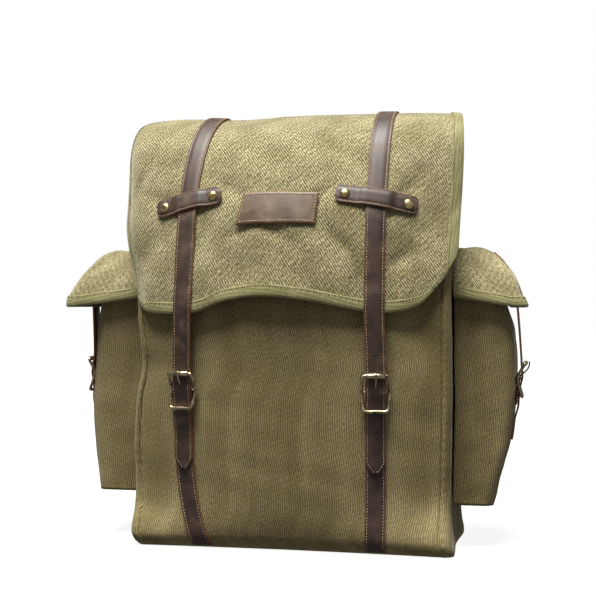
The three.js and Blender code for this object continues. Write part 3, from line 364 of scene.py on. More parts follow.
def tanned(name, face_colours, edge_code, roughness):
    """Waxed hide: its dye wears lighter in patches, and pores are cells of a Voronoi pattern."""
    material, tree, shader = new_material(name)
    place = add(tree, "ShaderNodeTexCoord").outputs["Object"]
    wear = add(
        tree,
        "ShaderNodeTexNoise",
        {"Vector": place, "Scale": 55.0, "Detail": 6.0, "Roughness": 0.6},
    ).outputs["Fac"]
    dye = add(
        tree, "ShaderNodeValToRGB", {"Fac": wear}, stops=list(zip((0.36, 0.56, 0.74), face_colours))
    )
    rim = add(tree, "ShaderNodeAttribute", attribute_name="rim").outputs["Fac"]
    hide = add(
        tree,
        "ShaderNodeMix",
        {0: rim, MIX_A: dye.outputs["Color"], MIX_B: colour(edge_code)},
        data_type="RGBA",
    )
    tree.links.new(hide.outputs[MIX_COLOUR], shader.inputs["Base Color"])
    gloss = add(
        tree,
        "ShaderNodeMapRange",
        {"Value": wear, "To Min": roughness - 0.1, "To Max": roughness + 0.14},
    )
    tree.links.new(gloss.outputs["Result"], shader.inputs["Roughness"])
    pores = add(tree, "ShaderNodeTexVoronoi", {"Vector": place, "Scale": 1 / (PORE * MM)})
    bump = add(
        tree,
        "ShaderNodeBump",
        {"Height": pores.outputs["Distance"], "Strength": 0.22, "Distance": 0.25 * MM},
    )
    tree.links.new(bump.outputs["Normal"], shader.inputs["Normal"])
    return material


leather = tanned("waxed_strap_leather", ("#2d1f18", "#412f25", "#624e40"), "#70492c", 0.5)
patch_leather = tanned("waxed_patch_leather", ("#4c392b", "#63503f", "#7d6a58"), "#7a5230", 0.45)

# %% [markdown]
# Rivets and buckles are brass with an antique finish: a warm metal, dark in the hollows and
# bright where fingers and cloth polish it. A metal keeps the default IOR.

# %% Antique brass


def aged_metal(name, codes):
    """Brass whose colour and roughness follow a fine noise of tarnish."""
    material, tree, shader = new_material(name)
    place = add(tree, "ShaderNodeTexCoord").outputs["Object"]
    tarnish = add(tree, "ShaderNodeTexNoise", {"Vector": place, "Scale": 240.0, "Detail": 5.0})
    tone = add(
        tree,
        "ShaderNodeValToRGB",
        {"Fac": tarnish.outputs["Fac"]},
        stops=list(zip((0.32, 0.58, 0.8), codes)),
    )
    gloss = add(
        tree,
        "ShaderNodeMapRange",
        {"Value": tarnish.outputs["Fac"], "To Min": 0.18, "To Max": 0.42},
    )
    tree.links.new(tone.outputs["Color"], shader.inputs["Base Color"])
    tree.links.new(gloss.outputs["Result"], shader.inputs["Roughness"])
    shader.inputs["Metallic"].default_value = 1.0
    return material


brass = aged_metal("antique_brass", ("#7b6e55", "#c2b493", "#e6dcc0"))
rivet_brass = aged_metal("polished_rivet_brass", ("#9b8150", "#dcc388", "#f5e6b8"))

# %% [markdown]
# All seams are sewn with bonded thread, whose twist breaks its colour into light and dark.

# %% Sewing thread


def spun_thread(name, dark, light):
    """Bonded thread: two tones that follow the twist."""
    material, tree, shader = new_material(name)
    place = add(tree, "ShaderNodeTexCoord").outputs["Object"]
    twist = add(tree, "ShaderNodeTexNoise", {"Vector": place, "Scale": 900.0, "Detail": 2.0})
    fibre = add(
        tree, "ShaderNodeValToRGB", {"Fac": twist.outputs["Fac"]}, stops=[(0.4, dark), (0.6, light)]
    )
    tree.links.new(fibre.outputs["Color"], shader.inputs["Base Color"])
    shader.inputs["Roughness"].default_value = 0.75
    return material


brown_thread = spun_thread("bonded_tan_thread", "#7a6850", "#bfab8b")
# The olive thread's very dark colour is partly the thread's own and partly painted shade for the
# groove that the stitches sink into.
olive_thread_and_groove_shade = spun_thread("olive_thread_painted_groove_shade", "#23241a", "#4b4c33")

# %% [markdown]
# ## Making meshes
#
# A grid of points becomes a mesh by numbering its corners, so no vertex is placed by hand. A
# cloth needs a wall: the same grid again, moved in along its normals, with a rim that joins
# the two. Blender's Solidify could do it too, but the wall's two faces are then not known to
# the script, and straps and stitches have to lie on them.

# %% Meshes from arrays


def make_piece(name, points, quads, material, uv=None, rim=None, tris=None):
    """A mesh object from points in millimetres and faces, that rides on the pack."""
    mesh = bpy.data.meshes.new(name)
    faces = [np.asarray(quads).reshape(-1, 4)]
    sizes = [np.full(len(faces[0]), 4)]
    if tris is not None:
        faces.append(np.asarray(tris).reshape(-1, 3))
        sizes.append(np.full(len(faces[1]), 3))
    corners = np.concatenate([f.ravel() for f in faces]).astype(np.int32)
    sizes = np.concatenate(sizes).astype(np.int32)
    mesh.vertices.add(len(points))
    mesh.vertices.foreach_set("co", (np.asarray(points) * MM).astype(np.float32).ravel())
    mesh.loops.add(len(corners))
    mesh.loops.foreach_set("vertex_index", corners)
    mesh.polygons.add(len(sizes))
    starts = np.concatenate([[0], np.cumsum(sizes)[:-1]]).astype(np.int32)
    mesh.polygons.foreach_set("loop_start", starts)
    mesh.polygons.foreach_set("use_smooth", np.ones(len(sizes), bool))
    mesh.update(calc_edges=True)
    if uv is not None:
        layer = mesh.uv_layers.new(name="cloth")
        layer.data.foreach_set("uv", (uv[corners] * MM).astype(np.float32).ravel())
    if rim is not None:
        layer = mesh.attributes.new("rim", "FLOAT", "POINT")
        layer.data.foreach_set("value", np.asarray(rim, np.float32).ravel())
    mesh.validate()
    mesh.materials.append(material)
    piece = bpy.data.objects.new(name, mesh)
    bpy.context.collection.objects.link(piece)
    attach(piece, "root")
    return piece


def grid_quads(rows, columns, start=0, closed=False):
    """Corner numbers of a grid's cells, row by row, closed round the columns if asked."""
    number = start + np.arange(rows * columns).reshape(rows, columns)
    if closed:
        number = np.hstack([number, number[:, :1]])
    low, high = number[:-1], number[1:]
    return np.stack([low[:, :-1], low[:, 1:], high[:, 1:], high[:, :-1]], -1).reshape(-1, 4)


def cloth_piece(name, outer, inner, uv, material, flip=False):
    """A closed cloth wall between two grids of points, with a rim round its edge."""
    rows, columns = outer.shape[:2]
    count = rows * columns
    top = grid_quads(rows, columns)
    under = grid_quads(rows, columns, count)[:, ::-1]
    number = np.arange(count).reshape(rows, columns)
    edge = np.concatenate([number[0, :], number[1:, -1], number[-1, -2::-1], number[-2:0:-1, 0]])
    ahead = np.roll(edge, -1)
    rim = np.stack([ahead, edge, edge + count, ahead + count], -1)
    quads = np.concatenate([top, under, rim])
    if flip:
        quads = quads[:, ::-1]
    points = np.concatenate([outer.reshape(-1, 3), inner.reshape(-1, 3)])
    return make_piece(name, points, quads, material, np.tile(uv.reshape(-1, 2), (2, 1)))


def with_caps(values):
    """A solid's values, then one for the middle of each cap: its first's and its last's."""
    return np.concatenate([values, values[:1], values[-1:]])


def swept(name, rings, material, uv=None, rim=None, closed=False, flip=False):
    """A solid through rings of points, open-ended with flat caps or closed into a loop."""
    count, size = rings.shape[:2]
    quads = grid_quads(count, size, closed=True)
    tris = None
    if closed:
        last = (count - 1) * size + np.arange(size)
        first = np.arange(size)
        quads = np.concatenate(
            [quads, np.stack([last, np.roll(last, -1), np.roll(first, -1), first], -1)]
        )
    points = rings.reshape(-1, 3)
    if not closed:
        ends = [points, rings[0].mean(0)[None], rings[-1].mean(0)[None]]
        points = np.concatenate(ends)
        first = np.arange(size)
        last = (count - 1) * size + first
        middle = np.full(size, count * size)
        tris = np.concatenate(
            [
                np.stack([np.roll(first, -1), first, middle], -1),
                np.stack([last, np.roll(last, -1), middle + 1], -1),
            ]
        )
        uv = None if uv is None else with_caps(uv.reshape(-1, 2))
        rim = None if rim is None else with_caps(np.asarray(rim).ravel())
    if flip:
        quads = quads[:, ::-1]
        tris = None if tris is None else tris[:, ::-1]
    return make_piece(name, points, quads, material, uv, rim, tris)


# %% [markdown]
# ## The sack
#
# Seen from above, the sack is a box whose front bulges and whose corners are rounded. One
# function gives any point of its face: "place" runs from the front's middle through the front
# seam, the corner, the side and the back corner to the back's middle. The table's rows give
# the half widths and depths at each level, as shares of the sack's sizes.

# %% The sack's face
low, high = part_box("front_panel")
BODY_HEIGHT = round(high[2] / MM)
BODY_WIDTH = 334.0
FRONT_DEPTH = 101.0
BACK_DEPTH = 72.0
FRONT_CROWN = 480.0
BACK_CROWN = 1500.0
FOOT_CROWN = -2500.0  # the front is slightly hollow where it stands
FOOT_LEVEL = 0.2
CORNER_RADIUS = 9.0
SIDE_SLACK = 3.0
BODY_FOLD = 6.0
CANVAS = 1.6  # wall of the cloth

SECTIONS = table(
    "level left right front back",
    (0.0, 0.882, 1.02, 0.835, 0.9),
    (0.012, 0.902, 1.018, 0.88, 0.945),
    (0.035, 0.917, 1.006, 0.93, 0.985),
    (0.09, 0.922, 0.993, 0.97, 1.0),
    (0.16, 0.928, 0.99, 0.99, 1.0),
    (0.27, 0.934, 0.996, 1.0, 1.0),
    (0.37, 0.918, 1.0, 1.0, 1.0),
    (0.455, 0.882, 0.995, 0.994, 1.0),
    (0.54, 0.905, 0.995, 0.985, 0.995),
    (0.62, 0.92, 0.993, 0.97, 0.988),
    (0.72, 0.935, 0.985, 0.925, 0.975),
    (0.83, 0.94, 0.97, 0.82, 0.94),
    (0.92, 0.935, 0.95, 0.67, 0.9),
    (1.0, 0.93, 0.935, 0.52, 0.86),
)
SHARES = {key: through(SECTIONS, "level", key) for key in ("left", "right", "front", "back")}

BODY_FOLDS = table(
    "across along long wide turn depth",
    (-0.9, 0.44, 0.22, 0.09, 8, 0.45),
    (-0.86, 0.1, 0.2, 0.06, -6, 0.3),
    (0.83, 0.53, 0.26, 0.1, 120, 0.6),
    (0.84, 0.1, 0.24, 0.07, 40, 0.15),
    (0.05, 0.3, 0.5, 0.16, 90, 0.3),
)



def front_crown(level):
    """Radius of the front's bulge: its inverse, the curvature, fades to the foot's."""
    foot = (1 - smooth(level / FOOT_LEVEL)) ** 2
    return 1 / ((1 - foot) / FRONT_CROWN + foot / FOOT_CROWN)


def sack_face(place, z):
    """The sack's outer face: circle arcs for the front, corners and back, joined by the sides,
    each scaled by its level's shares, with the table's folds pressed into the front."""
    place, z = np.broadcast_arrays(np.asarray(place, float), np.asarray(z, float))
    k = np.abs(place)
    level = np.clip(z / BODY_HEIGHT, 0, 1)
    half = BODY_WIDTH / 2 * np.where(place < 0, SHARES["left"](level), SHARES["right"](level))
    front = FRONT_DEPTH * SHARES["front"](level)
    back = BACK_DEPTH * SHARES["back"](level)
    inner = half - CORNER_RADIUS
    crown = front_crown(level)
    front_turn = np.arcsin(inner / (crown - CORNER_RADIUS))
    back_turn = np.arcsin(inner / (BACK_CROWN - CORNER_RADIUS))
    near = crown - front - (crown - CORNER_RADIUS) * np.cos(front_turn)
    far = back - BACK_CROWN + (BACK_CROWN - CORNER_RADIUS) * np.cos(back_turn)
    a = k * front_turn
    b = front_turn + (k - 1) * (np.pi / 2 - front_turn)
    c = (k - 3) * (np.pi / 2 - back_turn)
    d = (5 - k) * back_turn
    parts = [k <= 1, k <= 2, k <= 3, k <= 4]
    x = np.select(
        parts,
        [
            crown * np.sin(a),
            inner + CORNER_RADIUS * np.sin(b),
            half - SIDE_SLACK * np.sin((k - 2) * np.pi) ** 2,
            inner + CORNER_RADIUS * np.cos(c),
        ],
        BACK_CROWN * np.sin(d),
    )
    y = np.select(
        parts,
        [
            crown * (1 - np.cos(a)) - front,
            near - CORNER_RADIUS * np.cos(b),
            near + (k - 2) * (far - near),
            far + CORNER_RADIUS * np.sin(c),
        ],
        back - BACK_CROWN * (1 - np.cos(d)),
    )
    x = np.where(place < 0, -x, x)
    press = folded(BODY_FOLDS, x, z, BODY_WIDTH / 2, BODY_HEIGHT, BODY_FOLD)
    return np.stack([x, y + press * (1 - smooth((k - 1.2) / 0.8)), z], -1)


def front_place(x, z):
    """The place on the front panel that lies x from the middle."""
    level = np.clip(np.asarray(z, float) / BODY_HEIGHT, 0, 1)
    half = BODY_WIDTH / 2 * np.where(x < 0, SHARES["left"](level), SHARES["right"](level))
    crown = front_crown(level)
    return np.arcsin(x / crown) / np.arcsin((half - CORNER_RADIUS) / (crown - CORNER_RADIUS))


# %% [markdown]
# The sack's cloth is one closed wall round the pack. A real sack is sewn from panels: at each
# seam the cloth dips into a groove beside a raised edge where several layers lie under it,
# and the thread draws it into small puckers. These are drawn straight into the grid.

# %% The sack's cloth
SEAM_PLACE = 0.985
SEAM_DEPTH = 1.7
SEAM_RIDGE = 0.8
PUCKER = 9.0  # mm between puckers


def seam_relief(distance, along):
    """A seam's height: a narrow groove with a puckered ridge on its far side."""
    groove = -SEAM_DEPTH * np.exp(-((distance / 0.9) ** 2))
    puckers = 1 + 0.35 * np.sin(2 * np.pi * along / PUCKER + 1.3 * np.sin(along / 23))
    ridge = SEAM_RIDGE * puckers * np.exp(-(((distance - 3.2) / 2.2) ** 2))
    return groove + ridge


def denser(start, stop, count, *marks):
    """Grid lines at even steps, with extra ones close round the marks."""
    near = np.array([-1.5, -0.9, -0.5, -0.2, 0, 0.2, 0.5, 0.9, 1.5])
    step = (stop - start) / count
    lines = [steps(start, stop, count), *(mark + near * step for mark in marks)]
    return np.unique(np.round(np.clip(np.concatenate(lines), start, stop), 5))


sack_right = np.concatenate(
    [
        denser(0, 1, 60, SEAM_PLACE)[:-1],
        steps(1, 2, 10)[:-1],
        steps(2, 3, 30)[:-1],
        denser(3, 4, 8, 3.9),
        steps(4, 5, 36)[1:],
    ]
)
sack_places = np.concatenate([-sack_right[:0:-1], sack_right])
sack_levels = np.concatenate([steps(0, 26, 14)[:-1], steps(26, BODY_HEIGHT, 130)])
sack_u, sack_z = np.meshgrid(sack_places, sack_levels)
base_face = sack_face(sack_u, sack_z)
sack_out = normals(sack_face, sack_u, sack_z, 1e-3, 0.05)
sack_girth = run_along(base_face, axis=1)
seam_at = sack_girth[:, np.searchsorted(sack_places, SEAM_PLACE)][:, None]
seam_left = sack_girth[:, np.searchsorted(sack_places, -SEAM_PLACE)][:, None]
relief = seam_relief(sack_girth - seam_at, sack_z) + seam_relief(seam_left - sack_girth, sack_z)
relief += 0.7 * rumple(sack_girth, sack_z, 55, 3) + 0.35 * rumple(sack_girth, sack_z, 22, 8)
foot = 1 - smooth(sack_z / 10)
relief *= 1 - 0.85 * foot
sack_outer = base_face + sack_out * relief[..., None]
sack_inner = sack_outer - sack_out * CANVAS
sack_uv = np.stack([sack_girth, sack_z], -1)
sack = cloth_piece("sack_cloth", sack_outer, sack_inner, sack_uv, panel_canvas)
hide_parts("front_panel", "back_panel", "gusset_left", "gusset_right")
print("sack cloth:", sack_outer.shape[0], "by", sack_outer.shape[1], "points")

# %% The sack's base
outline = sack_inner[0]
base_top = np.stack([outline * [share, share, 0] for share in (0.02, 0.35, 0.7, 0.99)])
base_low = base_top + [0, 0, 0.2]
base_top = base_top + [0, 0, 2.2]
base_uv = base_top[..., :2].copy()
base = cloth_piece(
    "base_cloth", base_top, base_low, base_uv, panel_canvas, flip=True
)
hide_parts("base_panel")

# %% [markdown]
# ## The lid
#
# The lid is a flat piece of cloth that bends twice: it rolls over the top of the pack, which
# a side view gives, and it curves round the bulge of the front, which an angle across the
# cloth gives. Working the two out along the cloth's own lengths keeps it a true sheet that is
# bent and never stretched, as canvas is.

# %% The lid's side view
LID_RISE = 38.5
LID_STANDOFF = 8.0
LID_LEFT = 184.0
LID_RIGHT = 182.0
LID_SHIFT = -3.0
LID_TOP_CROWN = 2600.0
LID_LEAN = 0.022  # the top rises to the right by this share
LID_SHOULDER = 7.0  # and its left end stands up from that line by this much
HEM_LEVEL = 0.585
HEM_WAVE = 64.0
LID_FOLD = 8.0
REST = 0.4

LID_PROFILE = table(
    "step depth level rise",
    (0, -0.985, HEM_LEVEL, 0),
    (1, -0.97, 0.67, 0),
    (2, -0.925, 0.755, 0),
    (3, -0.84, 0.84, 0),
    (4, -0.69, 0.915, 0.1),
    (5, -0.48, 0.96, 0.5),
    (6, -0.22, 0.985, 0.88),
    (7, 0.1, 1.0, 1.0),
    (8, 0.48, 1.0, 0.86),
    (9, 0.84, 0.99, 0.5),
    (10, 0.94, 0.965, 0.0),
)

side_step = steps(0, 10, 240)
side_reach = through(LID_PROFILE, "step", "depth")(side_step)
side_y = np.where(
    side_reach < 0,
    side_reach * FRONT_DEPTH - LID_STANDOFF * smooth(-2 * side_reach),
    side_reach * BACK_DEPTH + 2.4 * smooth(2 * side_reach),
)
side_z = through(LID_PROFILE, "step", "level")(side_step) * BODY_HEIGHT
side_z = side_z + through(LID_PROFILE, "step", "rise")(side_step) * LID_RISE
side_length = np.concatenate([[0], np.cumsum(np.hypot(np.diff(side_y), np.diff(side_z)))])
LID_LENGTH = side_length[-1]
side_slope = unit(np.stack([np.gradient(side_y), np.gradient(side_z)], -1))
print("the lid is", round(LID_LENGTH), "mm long from hem to back seam")

LID_FOLDS = table(
    "across along long wide turn depth",
    (0.8, 0.24, 0.34, 0.15, 62, 0.85),
    (-0.2, 0.13, 0.26, 0.08, 98, 0.6),
    (-0.39, 0.25, 0.2, 0.07, 70, 0.5),
    (-0.76, 0.17, 0.28, 0.11, 55, 0.6),
    (0.3, 0.2, 0.3, 0.08, 118, 0.4),
    (-0.08, 0.0, 0.2, 0.34, 90, -0.85),
)

HEM = table(
    "across climb",
    (-1.0, 0.55),
    (-0.95, 0.24),
    (-0.88, 0.03),
    (-0.72, -0.02),
    (-0.5, 0.0),
    (-0.3, 0.17),
    (-0.07, 0.24),
    (0.2, 0.17),
    (0.5, 0.02),
    (0.68, 0.01),
    (0.82, 0.15),
    (0.92, 0.5),
    (0.97, 0.77),
    (1.0, 1.0),
)
hem_climb = through(HEM, "across", "climb")

LID_CUT = table(
    "along left right",
    (0.0, 0.86, 0.972),
    (0.1, 0.88, 0.985),
    (0.2, 0.925, 0.992),
    (0.3, 0.97, 0.998),
    (0.4, 0.99, 1.0),
    (0.55, 1.0, 0.99),
    (0.75, 0.97, 0.95),
    (1.0, 0.86, 0.87),
)
lid_cut = {key: through(LID_CUT, "along", key) for key in ("left", "right")}


def side_view(s):
    """The side view's point and outward normal at a length from the hem."""
    before, after = np.minimum(s, 0), np.maximum(s - LID_LENGTH, 0)
    point = np.stack([np.interp(s, side_length, side_y), np.interp(s, side_length, side_z)], -1)
    slope = np.stack([np.interp(s, side_length, side_slope[:, i]) for i in (0, 1)], -1)
    point = point + (before + after)[..., None] * slope
    return point, np.stack([-slope[..., 1], slope[..., 0]], -1)


def lid_face(w, s):
    """The lid's outer face: w across the cloth bends it round by the integral of its angle, and
    s up the cloth follows the side view. Folds press it inwards."""
    w, s = np.broadcast_arrays(np.asarray(w, float), np.asarray(s, float))
    top = smooth((s / LID_LENGTH - 0.3) / 0.45)
    bend = (1 - top) / FRONT_CROWN + top / LID_TOP_CROWN
    low = 1 - smooth(s / LID_LENGTH / 0.32)
    left_turn = np.radians(42 + 38 * top + 26 * low)
    left_start = 0.75 + 0.1 * top - 0.1 * low
    count = 24
    x, drop = np.zeros_like(w), np.zeros_like(w)
    for i in range(count):
        at = w * (i + 0.5) / count
        edge = smooth((at / LID_RIGHT - 0.84) / 0.16) * np.radians(8)
        curl = smooth((-at / LID_LEFT - left_start) / (1 - left_start)) * left_turn
        angle = at * bend + edge - curl
        x += np.cos(angle) * w / count
        drop += np.sin(angle) * w / count
    point, normal = side_view(s)
    fold = folded(LID_FOLDS, w, s, LID_RIGHT, LID_LENGTH, LID_FOLD)
    inward = drop + fold - top * (LID_LEAN * w + LID_SHOULDER * smooth((-w - 50) / 90))
    y = point[..., 0] - normal[..., 0] * inward
    z = point[..., 1] - normal[..., 1] * inward
    return np.stack([x + LID_SHIFT, y, z], -1)


def hem_at(share):
    """How far up the cloth the hem lies, at a share of the lid's width."""
    return HEM_WAVE * hem_climb(np.clip(share, -1, 1))


def lid_half(share, s):
    """From the lid's middle to its cut edge, on the side that the share's sign tells."""
    left, right = (lid_cut[key](s / LID_LENGTH) for key in ("left", "right"))
    return np.where(share < 0, LID_LEFT * left, LID_RIGHT * right)


def lid_flat(share, v):
    """The flat cloth's own width and length in millimetres."""
    hem = hem_at(share)
    s = hem + v * (LID_LENGTH - hem)
    return share * lid_half(share, s), s


def lid_cloth_face(share, v):
    """The lid's face by its cut shape: from edge to edge, and from hem to back seam."""
    return lid_face(*lid_flat(share, v))


# %% The lid's cloth
LID_CLOTH = 1.6
STRAP_PLACE = 95.5  # from the middle of the pack to each of its closure straps
STRAP_PRESS = 15.0  # how far aside a strap presses the cloth flat
HEM_FADE = 26.0  # how far up from the hem its ripples fade
HEM_RIPPLE = 17.0
LID_CREASE = 3.2
LID_CREASES = table(
    "across along long wide turn depth",
    (-0.66, 0.34, 0.16, 0.035, 150, 0.8),
    (-0.46, 0.3, 0.15, 0.035, 38, 0.9),
    (-0.28, 0.37, 0.15, 0.035, 148, 0.8),
    (-0.18, 0.24, 0.15, 0.035, 32, 0.6),
    (0.02, 0.22, 0.2, 0.04, 142, 0.7),
    (0.2, 0.32, 0.18, 0.035, 40, 0.9),
    (0.34, 0.2, 0.16, 0.035, 132, 0.7),
    (0.4, 0.46, 0.14, 0.03, 152, 0.4),
    (0.66, 0.34, 0.22, 0.045, 54, 1.0),
    (0.76, 0.44, 0.16, 0.035, 140, 0.3),
    (0.6, 0.13, 0.16, 0.04, 30, 0.8),
    (-0.8, 0.46, 0.18, 0.035, 66, 0.4),
    (-0.2, 0.5, 0.12, 0.03, 40, 0.25),
)

lid_shares = np.concatenate(
    [steps(-1, -0.8, 24)[:-1], steps(-0.8, 0.84, 100), steps(0.84, 1, 16)[1:]]
)
lid_rows = np.concatenate([steps(0, 0.1, 20)[:-1], steps(0.1, 1, 90)])
lid_u, lid_v = np.meshgrid(lid_shares, lid_rows)
lid_w, lid_s = lid_flat(lid_u, lid_v)
lid_base = lid_cloth_face(lid_u, lid_v)
lid_out = normals(lid_cloth_face, lid_u, lid_v, 0.003, 0.002)
hem_near = np.exp(-(((lid_s - hem_at(lid_u)) / HEM_FADE) ** 2))
lid_relief = 0.5 * rumple(lid_w, lid_s, 48, 21) + 0.3 * rumple(lid_w, lid_s, 20, 5)
lid_relief += 0.5 * hem_near * np.sin(2 * np.pi * lid_w / HEM_RIPPLE + 2 * np.sin(lid_w / 31))
lid_relief -= folded(LID_CREASES, lid_w, lid_s, LID_RIGHT, LID_LENGTH, LID_CREASE)
under_strap = np.exp(-((np.abs(lid_base[..., 0]) - STRAP_PLACE) / STRAP_PRESS) ** 4)
lid_relief *= 1 - 0.8 * under_strap
lid_outer = lid_base + lid_out * lid_relief[..., None]
lid_inner = lid_outer - lid_out * LID_CLOTH
lid = cloth_piece(
    "lid_cloth", lid_outer, lid_inner, np.stack([lid_w, lid_s], -1), canvas
)
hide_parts("lid")

# %% [markdown]
# The lid's edge is bound: a narrow twill tape is folded round it and sewn through all layers.
# The tape is a small channel carried along the edge, flush with the cloth on both faces.

# %% Binding tape
TAPE_WIDTH = 10.5
TAPE = 0.8
TAPE_GAP = 0.35
TAPE_STITCH_INSET = 1.6
TAPE_STITCH_LIFT = TAPE_GAP + TAPE + 0.1


def bound_edge(name, surface, u, v, in_u, in_v, du, dv, wall, out=1):
    """A tape folded round a cloth's edge: a channel's section carried along the edge, laid out
    by how far in it lies and how high over the cloth, with its corners rounded."""
    near, far = TAPE_GAP, TAPE_GAP + TAPE
    section = np.array(
        [
            (TAPE_WIDTH, near), (0, near), (-0.5, -wall / 2), (0, -wall - near),
            (TAPE_WIDTH, -wall - near), (TAPE_WIDTH, -wall - far), (4, -wall - far - 0.15),
            (0, -wall - far), (-0.9, -wall - 0.55), (-1.25, -wall / 2), (-0.9, 0.55),
            (0, far), (2.5, far + 0.25), (5.5, far + 0.25), (TAPE_WIDTH - 0.8, far),
            (TAPE_WIDTH, far - 0.25),
        ]
    )
    a = u[:, None] + in_u[:, None] * section[:, 0]
    b = v[:, None] + in_v[:, None] * section[:, 0]
    rings = surface(a, b) + normals(surface, a, b, du, dv, out) * section[:, 1][:, None]
    run = run_along(rings[:, 1])
    pucker = 0.18 * np.sin(2 * np.pi * run / 6.3)[:, None] * (section[:, 1] > 0)
    rings += normals(surface, a, b, du, dv, out) * pucker[..., None]
    uv = np.stack(np.broadcast_arrays(run[:, None], section[:, 0] + 3 * section[:, 1]), -1)
    return swept(name, rings, tape_cloth, uv, flip=out < 0)


EDGE_ROWS = 90  # stations up each side of the lid
along_hem = np.unique(np.concatenate([steps(-1, 1, 200), steps(0.9, 1, 30)]))
edge_shares = np.concatenate([-np.ones(EDGE_ROWS), along_hem, np.ones(EDGE_ROWS)])
edge_rows = np.concatenate(
    [steps(1, 0, EDGE_ROWS)[:-1], np.zeros(len(along_hem)), steps(0, 1, EDGE_ROWS)[1:]]
)
edge_w, edge_s = lid_flat(edge_shares, edge_rows)
edge_way = unit(np.stack([np.gradient(edge_w), np.gradient(edge_s)], -1))
lid_edge = (
    lid_cloth_face,
    edge_shares,
    edge_rows,
    -edge_way[:, 1] / lid_half(edge_shares, edge_s),
    edge_way[:, 0] / (LID_LENGTH - hem_at(edge_shares)),
)
lid_tape = bound_edge("lid_tape", *lid_edge, 0.003, 0.002, LID_CLOTH)
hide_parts("lid_binding")

# %% [markdown]
# ## Stitches
#
# A stitch is a short bead of thread with its ends pulled into the cloth. Thousands of them
# could be one repeating bump, but real beads catch the light at the edge of a strap. Each is
# a bead of a few faces, and a whole seam is one mesh worked out in one go.

# %% Stitches along a path


STITCH_SPACING = 2.9
STITCH_LENGTH = 2.45


def stitches(name, path, out, width=0.7, height=0.6, thread=brown_thread):
    """Beads along a path: at even lengths, each is an ellipsoid turned along the path."""
    run = run_along(path)
    count = max(int(run[-1] / STITCH_SPACING), 1)
    at = (np.arange(count) + 0.5) * run[-1] / count
    spot = np.stack([np.interp(at, run, path[:, i]) for i in range(3)], -1)
    ahead = np.stack([np.interp(at + 0.5, run, path[:, i]) for i in range(3)], -1)
    behind = np.stack([np.interp(at - 0.5, run, path[:, i]) for i in range(3)], -1)
    up = unit(np.stack([np.interp(at, run, out[:, i]) for i in range(3)], -1))
    along = unit(ahead - behind)
    side = unit(np.cross(along, up))
    stations = np.array([-0.92, -0.45, 0.45, 0.92]) * STITCH_LENGTH / 2
    sizes = np.array([0.35, 1, 1, 0.35])
    turns = np.arange(6) * np.pi / 3
    ring = (
        side[:, None, None] * (np.cos(turns) * width / 2)[None, None, :, None]
        + up[:, None, None] * (np.sin(turns) * height / 2)[None, None, :, None]
    ) * sizes[None, :, None, None]
    points = spot[:, None, None] + along[:, None, None] * stations[None, :, None, None] + ring
    dip = (1 - sizes) * 0.25
    points = points - up[:, None, None] * dip[None, :, None, None]
    one = grid_quads(4, 6, closed=True)
    caps = np.array([[0, 5, 4, 3], [0, 3, 2, 1], [18, 19, 20, 21], [18, 21, 22, 23]])
    one = np.concatenate([one, caps])[:, ::-1]
    quads = (one[None] + 24 * np.arange(count)[:, None, None]).reshape(-1, 4)
    return make_piece(name, points.reshape(-1, 3), quads, thread)


def edge_line(surface, u, v, in_u, in_v, inset, height, du, dv, out=1):
    """A path on a cloth that keeps a distance from its edge, with its normals."""
    a, b = u + in_u * inset, v + in_v * inset
    up = normals(surface, a, b, du, dv, out)
    return surface(a, b) + up * height, up


hem_path, hem_up = edge_line(
    *lid_edge, TAPE_WIDTH - TAPE_STITCH_INSET, TAPE_STITCH_LIFT, 0.003, 0.002
)
stitches("lid_tape_stitches", hem_path, hem_up, thread=olive_thread_and_groove_shade)

# %% [markdown]
# ## Leather straps
#
# A strap is a long narrow bar whose section is a rounded rectangle, carried along a route that
# lies on the cloth. Its sides taper at the tip. The route's height over the cloth is settled
# layer by layer, so that the lower strap, the buckle's bar and the upper strap each lie on the
# one below.

# %% A leather strip
LEATHER = 1.8
STRIP_SECTION = table(
    "across face rim",
    (-1.0, -0.5, 1.0),
    (-0.985, -1.0, 0.8),
    (0.985, -1.0, 0.8),
    (1.0, -0.5, 1.0),
    (1.0, 0.45, 1.0),
    (0.975, 0.82, 0.75),
    (0.93, 0.97, 0.25),
    (0.82, 1.0, 0.0),
    (0.8, 0.86, 0.0),
    (0.76, 0.86, 0.0),
    (0.74, 1.0, 0.0),
    (0.3, 1.06, 0.0),
    (-0.3, 1.06, 0.0),
    (-0.74, 1.0, 0.0),
    (-0.76, 0.86, 0.0),
    (-0.8, 0.86, 0.0),
    (-0.82, 1.0, 0.0),
    (-0.93, 0.97, 0.25),
    (-0.975, 0.82, 0.75),
    (-1.0, 0.45, 1.0),
)


def strip(name, middle, across, widths, thickness=LEATHER, material=leather):
    """A strip of leather: its rounded section, with a groove pressed for each row of stitches,
    carried along its middle line."""
    along = unit(np.gradient(middle, axis=0))
    out = unit(np.cross(across, along))
    half = np.broadcast_to(np.asarray(widths, float) / 2, len(middle))
    side = STRIP_SECTION["across"][None, :] * half[:, None]
    face = STRIP_SECTION["face"] * thickness / 2
    rings = middle[:, None] + across[:, None] * side[..., None] + out[:, None] * face[None, :, None]
    rim = np.tile(STRIP_SECTION["rim"], (len(middle), 1))
    run = run_along(middle)
    uv = np.stack(np.broadcast_arrays(side, run[:, None]), -1)
    return swept(name, rings, material, uv, rim)


def finer(points, directions, count):
    """A route resampled at even lengths with a smooth curve through its stations."""
    run = run_along(points)
    rows = {"run": run, **{i: points[:, i] for i in range(3)}}
    rows.update({3 + i: directions[:, i] for i in range(3)})
    at = steps(0, run[-1], count)
    smooth_points = np.stack([through(rows, "run", i)(at) for i in range(3)], -1)
    return smooth_points, unit(np.stack([through(rows, "run", 3 + i)(at) for i in range(3)], -1)), at


STITCH_INSET = 2.2


